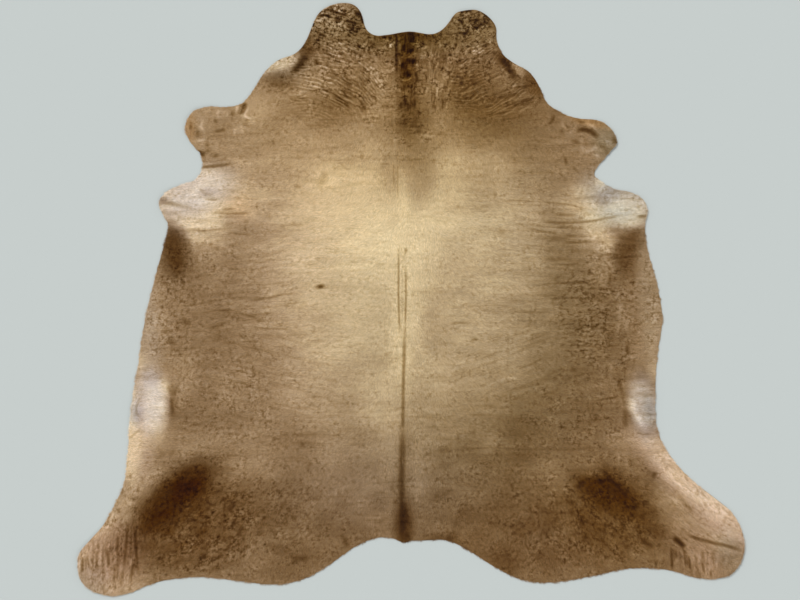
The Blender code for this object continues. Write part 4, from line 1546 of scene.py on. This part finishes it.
class Shading:
    """A material under construction, with one principled shader."""

    DEEPEN = (1.64, 2.08, 3.00)  # how much faster each colour fades than the display tone
    NOISE_SPAN = (0.25, 0.75)  # where nearly all of a noise's values lie
    RAMP_SPAN = (0.3, 0.7)  # where most of them lie
    # Flecks: their size, how strong the finer ones are, how far they shade, how much less the light
    # ones do, and the size of the patches that they differ in and how far.
    FLECK_SCALE, FLECK_ROUGH, FLECKS, FLECK_BEND = 0.6, 0.75, (-2.6, 2.6), -0.22
    PATCH_SCALE, PATCHES = 0.21, (0.35, 1.65)
    # Wrinkles, painted as shade with painted light beside it: where they are, the level and the reach
    # of their painted shade and painted light, and how bright the painted light is.
    WRINKLED = (-0.8, 1.6)
    WRINKLE_DARK, WRINKLE_LIT, WRINKLE_GLOW = (0.500, 0.022), (0.538, 0.026), 0.6
    # Spots: how fast they rise from the noise and from where, how soft their middle is, and how
    # bright the coat is between them.
    SPOT_RISE, SPOT_START, SPOT_SOFT, SPOT_BETWEEN = 5.0, -3.1, 0.3, 0.12
    WAVE_HALF = 0.499  # just under a half, so that a wave never falls below 0

    def __init__(self, name: str) -> None:
        """Starts a material.

        Args:
            name: its name.
        """
        self.material = bpy.data.materials.new(name)
        self.material.use_nodes = True
        self.nodes = self.material.node_tree.nodes
        self.links = self.material.node_tree.links
        self.shader = self.nodes["Principled BSDF"]
        self.place = self.nodes.new("ShaderNodeTexCoord").outputs["Object"]

    def set(self, name: str, value: float) -> None:
        """Sets one of the shader's own sockets."""
        self.shader.inputs[name].default_value = value

    def link(self, output: Socket, name: str) -> None:
        """Joins an output to one of the shader's sockets."""
        self.links.new(output, self.shader.inputs[name])

    def _node(self, kind: str, inputs: dict[str | int, object], **settings: str) -> Node:
        """A new node.

        Args:
            kind: what it does, as its type's name ends.
            inputs: by the input's name or place, an output to join to it or a value to set.
            settings: the node's own settings.

        Returns:
            The node.
        """
        node = self.nodes.new(f"ShaderNode{kind}")
        for name, value in settings.items():
            setattr(node, name, value)
        for name, value in inputs.items():
            if isinstance(value, Socket):
                self.links.new(value, node.inputs[name])
            else:
                node.inputs[name].default_value = value
        return node

    def layer(self, name: str) -> tuple[Socket, tuple[Socket, ...]]:
        """What the mesh holds at each of its points.

        Args:
            name: the layer that is read.

        Returns:
            The layer's numbers, whole and as three outputs.
        """
        whole = self._node("Attribute", {}, attribute_name=name).outputs["Vector"]
        return whole, tuple(self._node("SeparateXYZ", {"Vector": whole}).outputs)

    def math(self, operation: str, *values: Socket | float) -> Socket:
        """The result of a sum on values that are numbers or outputs."""
        return self._node("Math", dict(enumerate(values)), operation=operation).outputs["Value"]

    def chain(self, operation: str, *values: Socket) -> Socket:
        """The result of a sum on many values, one after the other."""
        return reduce(lambda first, other: self.math(operation, first, other), values)

    def held(self, value: Socket, low: float, high: float) -> Socket:
        """A value that goes no lower and no higher than that."""
        return self.math("MAXIMUM", self.math("MINIMUM", value, high), low)

    def coat(self) -> Socket:
        """The coat's colour with its fine marks and lines, and the light and shade painted on its
        ripples, wrinkles and creases.

        Returns:
            The colour's output.
        """
        shade = self.chain(
            "ADD",
            self._flecks("coat_flecks", 3.0),
            self._flecks("coat_streaks", 2.0),
            self._wrinkles(),
            self._spots(),
            self._painted_ripple_shading("coat_ripple_shading"),
            self._painted_ripple_shading("coat_cross_ripple_shading"),
        )
        shade = self.math("SUBTRACT", shade, self._lines())
        base = [math.exp(share) for share in self.DEEPEN]
        power = self._node("VectorMath", {0: base, 1: shade}, operation="POWER").outputs["Vector"]
        colour = self.layer("coat_colour")[0]
        blend = self._node("VectorMath", {0: colour, 1: power}, operation="MULTIPLY")
        return blend.outputs["Vector"]

    def _marks(
        self, place: Socket, detail: float, scale: float = 1.0, rough: float = 0.5
    ) -> Node:
        """Noise at a place that is already in the noise's own steps.

        Args:
            place: the place.
            detail: how many finer layers it has.
            scale: how many features there are to a step.
            rough: how strong the finer layers are.

        Returns:
            The noise's node.
        """
        inputs = {"Vector": place, "Scale": scale, "Detail": detail, "Roughness": rough}
        return self._node("TexNoise", inputs, noise_dimensions="2D")

    def _flecks(self, name: str, detail: float) -> Socket:
        """How far the flecks brighten the coat, more in some patches than in others.

        Args:
            name: the layer that they are in.
            detail: how many finer layers of flecks there are.

        Returns:
            The share of tone that the coat gains.
        """
        place, (_, _, share) = self.layer(name)
        patches = self._marks(place, 0.0, self.PATCH_SCALE).outputs["Fac"]
        flecks = self._marks(place, detail, self.FLECK_SCALE, self.FLECK_ROUGH).outputs["Fac"]
        flecks = self.range(flecks, *self.FLECKS)
        bend = self.math("MULTIPLY_ADD", flecks, self.FLECK_BEND, 1.0)
        return self.chain("MULTIPLY", flecks, bend, self.range(patches, *self.PATCHES), share)

    def _wrinkles(self) -> Socket:
        """How far the painted shade of thin wrinkles darkens the coat and the painted light beside
        them brightens it.

        Returns:
            The share of tone that the coat gains.
        """
        place, (_, _, share) = self.layer("coat_painted_wrinkles")
        noise = self._marks(place, 1.0).outputs["Color"]
        level, patches, _ = self._node("SeparateColor", {"Color": noise}).outputs
        here = self.held(self.range(patches, *self.WRINKLED), 0.0, 1.0)
        dark, painted_side_light = self._level(level, *self.WRINKLE_DARK), self._level(level, *self.WRINKLE_LIT)
        line = self.math("SUBTRACT", self.math("MULTIPLY", painted_side_light, self.WRINKLE_GLOW), dark)
        return self.chain("MULTIPLY", line, here, share)

    def _level(self, value: Socket, middle: float, reach: float) -> Socket:
        """One where the value is at a level, falling to nothing at that distance from it."""
        away = self.math("ABSOLUTE", self.math("SUBTRACT", value, middle))
        return self.math("MAXIMUM", self.math("MULTIPLY_ADD", away, -1.0 / reach, 1.0), 0.0)

    def _spots(self) -> Socket:
        """How far the spots darken the coat, and what lies between them brightens it.

        Returns:
            The share of tone that the coat gains.
        """
        place, (_, _, share) = self.layer("coat_spots")
        spots = self.range(self._marks(place, 1.0).outputs["Fac"], 0.0, 1.0)
        dark = self.math("MULTIPLY_ADD", spots, self.SPOT_RISE, self.SPOT_START)
        dark = self.math("MAXIMUM", self.math("SMOOTH_MIN", dark, 1.0, self.SPOT_SOFT), 0.0)
        return self.math("MULTIPLY", self.math("SUBTRACT", self.SPOT_BETWEEN, dark), share)

    def _painted_ripple_shading(self, name: str) -> Socket:
        """How far the light painted on the ripples' crests brightens the coat and the shade painted
        in their troughs darkens it.

        Args:
            name: the layer that they are in.

        Returns:
            The share of tone that the coat gains.
        """
        _, (place, share, _) = self.layer(name)
        wave = self.math("COSINE", self.math("MULTIPLY", place, 2 * math.pi))
        wave = self.math("MULTIPLY_ADD", wave, self.WAVE_HALF, 0.5)
        crest = self.math("POWER", wave, RIPPLE_CREST)
        crest = self.math("MULTIPLY_ADD", crest, RIPPLE_RISE, -RIPPLE_TROUGH)
        return self.math("MULTIPLY", crest, share)

    def _lines(self) -> Socket:
        """How far the lines darken the coat, with painted shade in creases, painted highlights on
        ridges and painted light and shade on their sides.

        Returns:
            The share of tone that the coat loses.
        """
        _, (side, shade, painted_side_light) = self.layer("coat_lines")
        away = {"Value": self.math("ABSOLUTE", side), "From Min": LINE_REACH, "From Max": 0.0}
        strength = self._node("MapRange", away, interpolation_type="SMOOTHSTEP").outputs["Result"]
        painted_side_light_here = self.math("MULTIPLY", self.held(side, -1.0, 1.0), painted_side_light)
        return self.math("MULTIPLY", self.math("SUBTRACT", shade, painted_side_light_here), strength)

    def noise(self, scale: float, detail: float, squash: Colour = (1.0, 1.0, 1.0)) -> Socket:
        """Noise in the hide's own space.

        Args:
            scale: how many features there are to a metre.
            detail: how many finer layers it has.
            squash: how much closer the features are along each axis.

        Returns:
            The noise's output, from 0 to 1.
        """
        place = self._node("Mapping", {"Vector": self.place, "Scale": squash}).outputs["Vector"]
        inputs = {"Vector": place, "Scale": scale, "Detail": detail}
        return self._node("TexNoise", inputs).outputs["Fac"]

    def range(self, value: Socket, low: float, high: float) -> Socket:
        """A noise stretched so that nearly all of it is from low to high.

        Args:
            value: the noise.
            low: what its low values become.
            high: what its high values become.

        Returns:
            The stretched output.
        """
        names = ("From Min", "From Max", "To Min", "To Max")
        inputs = {"Value": value, **dict(zip(names, (*self.NOISE_SPAN, low, high)))}
        return self._node("MapRange", inputs).outputs["Result"]

    def ramp(self, value: Socket, low: Colour, high: Colour) -> Socket:
        """A colour between two.

        Args:
            value: the noise that picks it.
            low: the colour for its low values.
            high: the colour for its high values.

        Returns:
            The colour's output.
        """
        node = self._node("ValToRGB", {"Fac": value})
        for stop, position, colour in zip(node.color_ramp.elements, self.RAMP_SPAN, (low, high)):
            stop.position, stop.color = position, (*colour, 1.0)
        return node.outputs["Color"]

    def multiply(self, colour: Socket, value: Socket) -> Socket:
        """A colour times a value."""
        scaled = self._node("VectorMath", {0: colour, "Scale": value}, operation="SCALE")
        return scaled.outputs["Vector"]

    def bump(self, height: Socket, strength: float, distance: float) -> None:
        """Roughens the surface by a height in metres."""
        inputs = {"Height": height, "Strength": strength, "Distance": distance}
        self.link(self._node("Bump", inputs).outputs["Normal"], "Normal")


class SkinFace(Enum):
    """The finishes of the skin, by their place in its list of materials."""

    HAIR_SIDE = 0
    FLESH_SIDE = 1
    CUT_EDGE = 2


@dataclass
class Skin:
    """The tanned skin: one closed sheet with a hair side, a flesh side and a cut edge."""

    hide: HideFrame
    lie: Lie
    coat: Coat
    top_step: float = 0.0105
    bottom_step: float = 0.030
    edge_inset: float = 0.0007
    edge_share: float = 0.65  # how far up the sheet its cut edge goes before it rounds over
    rim_clearance: float = 0.6  # how far inside its rim a field's points start, in its own steps
    widest_clearance: float = 0.0072  # and how far at the most

    KEEP_INSIDE, SAME_POINT = 1, 1e-7  # how fields are cut to their rims, and what counts as one

    def build(self) -> Object:
        """The skin, with its finishes.

        Returns:
            The skin's object.
        """
        rim = self.hide.outline
        count = len(rim)
        ahead = np.roll(rim, -1, 0) - np.roll(rim, 1, 0)
        inward = np.stack([-ahead[:, 1], ahead[:, 0]], 1) / np.hypot(*ahead.T)[:, None]
        top, top_faces = self._field(rim + inward * self.edge_inset, self.top_step)
        bottom, bottom_faces = self._field(rim, self.bottom_step)
        low, high = self.lie.bottom(*rim.T), self.lie.top(*rim.T)
        middle = low + (high - low) * self.edge_share
        sheets = ((top, self.lie.top(*top.T)), (bottom, self.lie.bottom(*bottom.T)), (rim, middle))
        points = np.concatenate([np.column_stack(sheet) for sheet in sheets])
        first_bottom, first_middle = len(top), len(top) + len(bottom)
        faces = [list(face) for face in top_faces]
        faces += [[first_bottom + corner for corner in reversed(face)] for face in bottom_faces]
        for here in range(count):
            there = (here + 1) % count
            raised, raised_there = first_middle + here, first_middle + there
            faces.append([first_bottom + here, first_bottom + there, raised_there, raised])
            faces.append([raised, raised_there, there, here])
        finishes = [SkinFace.HAIR_SIDE.value] * len(top_faces)
        finishes += [SkinFace.FLESH_SIDE.value] * len(bottom_faces)
        finishes += [SkinFace.CUT_EDGE.value] * (2 * count)
        mesh = bpy.data.meshes.new("hide_skin")
        mesh.from_pydata(points.tolist(), [], faces)
        mesh.polygons.foreach_set("material_index", finishes)
        mesh.polygons.foreach_set("use_smooth", [True] * len(faces))
        paint(mesh, self.coat.layers(points[:, 0], points[:, 1]))
        for finish in (UndercoatFinish(), SuedeFinish(), CutEdgeFinish()):
            mesh.materials.append(finish.material())
        mesh.update()
        return placed("hide_skin", mesh)

    def _field(self, rim: Floats, step: float) -> tuple[Floats, list[list[int]]]:
        """A flat triangle mesh inside a rim.

        Args:
            rim: the rim's points, which come first in the result.
            step: the spacing of the points inside.

        Returns:
            The mesh's points and its triangles, anticlockwise.
        """
        low, high = rim.min(0), rim.max(0)
        rows = np.arange(low[1], high[1], step * HEX_ROW)
        x, y = np.meshgrid(np.arange(low[0], high[0], step), rows)
        x[1::2] += step / 2
        kept = self.hide.inside(x, y) > min(self.rim_clearance * step, self.widest_clearance)
        inner = np.stack([x[kept], y[kept]], 1)
        flat = [Vector(point) for point in np.concatenate([rim, inner])]
        cut = delaunay_2d_cdt(flat, [], [[*range(len(rim))]], self.KEEP_INSIDE, self.SAME_POINT)
        return np.array([place[:] for place in cut[0]]), cut[2]


class Stretch(NamedTuple):
    """A stretch of the hide with its own pile, from low to high along it in metres."""

    name: str
    low: float
    high: float
    spacing: float


STRETCHES = (
    Stretch("hair_neck", 0.640, 2.000, 0.00148),
    Stretch("hair_shoulders", 0.110, 0.640, 0.00225),
    Stretch("hair_barrel", -0.380, 0.110, 0.00228),
    Stretch("hair_rump", -2.000, -0.380, 0.00262),
)


@dataclass
class Pile:
    """The hair of one stretch, as single tapered strands that lie over one another."""

    hide: HideFrame
    lie: Lie
    coat: Coat
    flow: HairFlow
    material: Material
    scatter: float = 12.0  # degrees that a strand may turn away from its neighbours
    roll: float = 9.0  # degrees that a strand may lean to its side
    jitter: float = 0.45  # how far roots stand off their even places, in spacings
    inset: float = 0.0004  # how far inside the cut edge the outermost roots are
    overhang: float = 0.0050  # how far tips reach past the cut edge
    sink: float = 0.0003  # how far roots start below the skin's surface
    droop: float = 0.25  # how far a tip past the edge drops, by how far past it is
    # The roots are darkened as painted shade under the strands that lie over them, and the tips
    # brightened as painted light.
    root_painted_shade: float = 0.80
    tip_painted_light: float = 1.06
    vary: float = 0.11  # how far one strand's colour is from the next
    tufts: Noise = Noise(31, 0.016, 0.016)  # how the overhang changes along the edge
    tuft_spread: float = 0.7
    tuft_span: Span = (0.2, 1.8)

    # How much a strand may differ from the hair's own length, standing height and overhang.
    LENGTHS, STANDS, REACHES = (0.70, 1.20), (0.35, 1.25), (0.4, 1.1)
    LEAST = 1e-6  # keeps a division by a strand's overhang from failing

    def build(self, stretch: Stretch, seed: int) -> Object:
        """The pile of one stretch.

        Args:
            stretch: the stretch.
            seed: the seed of its random draws.

        Returns:
            The pile's object.
        """
        random = np.random.default_rng(seed)
        x, y = self._roots(stretch, random)
        count = len(x)
        length, width, stand = self._sizes(x, y)
        length *= random.uniform(*self.LENGTHS, count)
        heading = self.flow.heading(x, y) + np.radians(self.scatter) * random.standard_normal(count)
        ahead_x, ahead_y = np.cos(heading), np.sin(heading)
        inside = self.hide.inside(x, y)
        past = inside - self.hide.inside(x + length * ahead_x, y + length * ahead_y)
        tufts = np.clip(1.0 + self.tuft_spread * self.tufts.at(x, y), *self.tuft_span)
        limit = inside + self.overhang * tufts * random.uniform(*self.REACHES, count)
        length *= np.where(past > limit, limit / np.maximum(past, self.LEAST), 1.0)
        tip_x, tip_y = x + length * ahead_x, y + length * ahead_y
        root_z = self.lie.top(x, y) - self.sink
        tip_z = self.lie.top(tip_x, tip_y) + stand * random.uniform(*self.STANDS, count)
        tip_z -= self.droop * np.maximum(-self.hide.inside(tip_x, tip_y), 0.0)
        lean = np.tan(np.radians(self.roll) * random.standard_normal(count)) * width / 2
        side_x, side_y = -ahead_y * width / 2, ahead_x * width / 2
        right = np.stack([x - side_x, y - side_y, root_z - lean], 1)
        left = np.stack([x + side_x, y + side_y, root_z + lean], 1)
        corners = np.stack([right, np.stack([tip_x, tip_y, tip_z], 1), left], 1)
        root, tip = self.coat.layers(x, y), self.coat.layers(tip_x, tip_y)
        layers = {name: np.stack([root[name], tip[name], root[name]], 1) for name in root}
        painted_root_and_tip_light = np.array([self.root_painted_shade, self.tip_painted_light, self.root_painted_shade])[None, :, None]
        layers["coat_colour"] *= painted_root_and_tip_light * np.exp(self.vary * random.standard_normal((count, 1, 1)))
        return self._object(stretch.name, corners, layers)

    def _roots(self, stretch: Stretch, random: np.random.Generator) -> tuple[Floats, Floats]:
        """The places of the strands' roots, staggered and jittered.

        Args:
            stretch: the stretch that they cover.
            random: what they are jittered by.

        Returns:
            The roots' places across and along the hide.
        """
        low, high = self.hide.outline.min(0), self.hide.outline.max(0)
        start, end = max(low[1], stretch.low), min(high[1], stretch.high)
        rows = np.arange(start, end, stretch.spacing * HEX_ROW)
        x, y = np.meshgrid(np.arange(low[0], high[0], stretch.spacing), rows)
        x[1::2] += stretch.spacing / 2
        x += random.uniform(-self.jitter, self.jitter, x.shape) * stretch.spacing
        y += random.uniform(-self.jitter, self.jitter, x.shape) * stretch.spacing
        kept = self.hide.inside(x, y) > self.inset
        return x[kept], y[kept]

    def _sizes(self, x: Floats, y: Floats) -> Floats:
        """The sizes of the hair.

        Args:
            x, y: the points' places.

        Returns:
            A row of its lengths at the points, one of its widths and one of its standing heights.
        """
        sizes = np.zeros((3, len(x)))
        for row in HAIRS:
            found, share = row.area.reach(x, y)
            own = MM * np.array([[row.length], [row.width], [row.stand]])
            sizes[:, found] += (own - sizes[:, found]) * share
        return sizes

    def _object(self, name: str, corners: Floats, layers: dict[str, Floats]) -> Object:
        """A pile as a mesh of separate triangles with a flat map.

        Args:
            name: the pile's name.
            corners: the three corners of each strand.
            layers: the numbers that the finish reads at each of them.

        Returns:
            The pile's object.
        """
        count = len(corners)
        mesh = bpy.data.meshes.new(name)
        mesh.vertices.add(3 * count)
        mesh.vertices.foreach_set("co", corners.astype(np.float32).ravel())
        mesh.loops.add(3 * count)
        mesh.loops.foreach_set("vertex_index", np.arange(3 * count, dtype=np.int32))
        mesh.polygons.add(count)
        mesh.polygons.foreach_set("loop_start", np.arange(0, 3 * count, 3, dtype=np.int32))
        mesh.update(calc_edges=True)
        paint(mesh, layers)
        flat = corners[:, :, :2].reshape(-1, 2)
        low, span = flat.min(0), np.ptp(flat, axis=0)
        flat_map = mesh.uv_layers.new(name="OFBake")
        flat_map.uv.foreach_set("vector", ((flat - low) / span).astype(np.float32).ravel())
        mesh.materials.append(self.material)
        return placed(name, mesh)


def placed(name: str, data: ID) -> Object:
    """Puts a new object in the scene.

    Args:
        name: its name.
        data: its mesh, light or camera.

    Returns:
        The object.
    """
    made = bpy.data.objects.new(name, data)
    bpy.context.scene.collection.objects.link(made)
    return made


@dataclass
class Studio:
    """A plain pale floor, soft lights and the camera straight above."""

    middle: Place = (-0.0385, -0.002)
    camera_height: float = 6.0
    view_width: float = 2.80
    sensor: float = 36.0
    floor_half: float = 6.0
    floor_drop: float = 0.0006
    floor_colour: Colour = (0.44, 0.475, 0.466)
    floor_roughness: float = 0.9
    floor_gloss: float = 0.1
    lamp_distance: float = 4.0
    key_strength: float = 2.5
    fill_strength: float = 0.62
    sky_strength: float = 0.54

    def build(self) -> None:
        """Sets up the floor, the lights, the sky and the camera."""
        self._floor()
        self._sun("key_light", self.key_strength, lean=38.0, toward=125.0, spread=24.0)
        self._sun("fill_light", self.fill_strength, lean=50.0, toward=-60.0, spread=60.0)
        world = bpy.data.worlds.new("studio")
        world.use_nodes = True
        sky = world.node_tree.nodes["Background"]
        sky.inputs["Color"].default_value = WHITE
        sky.inputs["Strength"].default_value = self.sky_strength
        bpy.context.scene.world = world
        bpy.context.scene.view_settings.view_transform = "Standard"
        self._camera()

    def _floor(self) -> None:
        """The floor, just under the hide."""
        half, down = self.floor_half, -self.floor_drop
        mesh = bpy.data.meshes.new("studio_floor")
        corners = ((-half, -half), (half, -half), (half, half), (-half, half))
        mesh.from_pydata([(*corner, down) for corner in corners], [], [(0, 1, 2, 3)])
        made = Shading("studio_floor_paint")
        made.shader.inputs["Base Color"].default_value = (*self.floor_colour, 1.0)
        made.set("Roughness", self.floor_roughness)
        made.set("Specular IOR Level", self.floor_gloss)
        mesh.materials.append(made.material)
        placed("studio_floor", mesh)

    def _sun(self, name: str, strength: float, lean: float, toward: float, spread: float) -> None:
        """A broad even light.

        Args:
            name: its name.
            strength: its strength.
            lean: how far it stands away from straight above, in degrees.
            toward: the side that it stands on, in degrees from +X.
            spread: how wide it looks from the hide, in degrees.
        """
        light = bpy.data.lights.new(name, "SUN")
        light.energy = strength
        light.angle = math.radians(spread)
        side = math.radians(toward)
        out = math.sin(math.radians(lean))
        source = Vector((out * math.cos(side), out * math.sin(side), math.cos(math.radians(lean))))
        lamp = placed(name, light)
        lamp.rotation_euler = source.to_track_quat("Z", "Y").to_euler()
        lamp.location = source * self.lamp_distance

    def _camera(self) -> None:
        """The camera, looking straight down with the neck at the top."""
        data = bpy.data.cameras.new("camera")
        data.sensor_width = self.sensor
        data.lens = self.sensor * self.camera_height / self.view_width
        camera = placed("camera", data)
        camera.location = (*self.middle, self.camera_height)
        bpy.context.scene.camera = camera


def report(piece: Object) -> None:
    """Logs a piece's name, its triangles and its highest point.

    Args:
        piece: the piece.
    """
    mesh = piece.data
    triangles = sum(len(face.vertices) - 2 for face in mesh.polygons)
    places = np.empty(3 * len(mesh.vertices), np.float32)
    mesh.vertices.foreach_get("co", places)
    LOG.info("%s: %d triangles, top at %.1f mm", piece.name, triangles, places[2::3].max() / MM)


def main() -> None:
    """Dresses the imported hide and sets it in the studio."""
    logging.basicConfig(level=logging.INFO, format="%(message)s")
    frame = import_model()
    hide = HideFrame(frame["nodes"][NODE])
    lie = Lie(hide)
    coat = Coat(lie)
    skin = Skin(hide, lie, coat).build()
    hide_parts(NODE)
    pile = Pile(hide, lie, coat, HairFlow(), HairFinish().material())
    hair = [pile.build(stretch, seed) for seed, stretch in enumerate(STRETCHES)]
    for piece in (skin, *hair):
        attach(piece, BODY)
        report(piece)
    Studio().build()


if __name__ == "__main__":
    main()
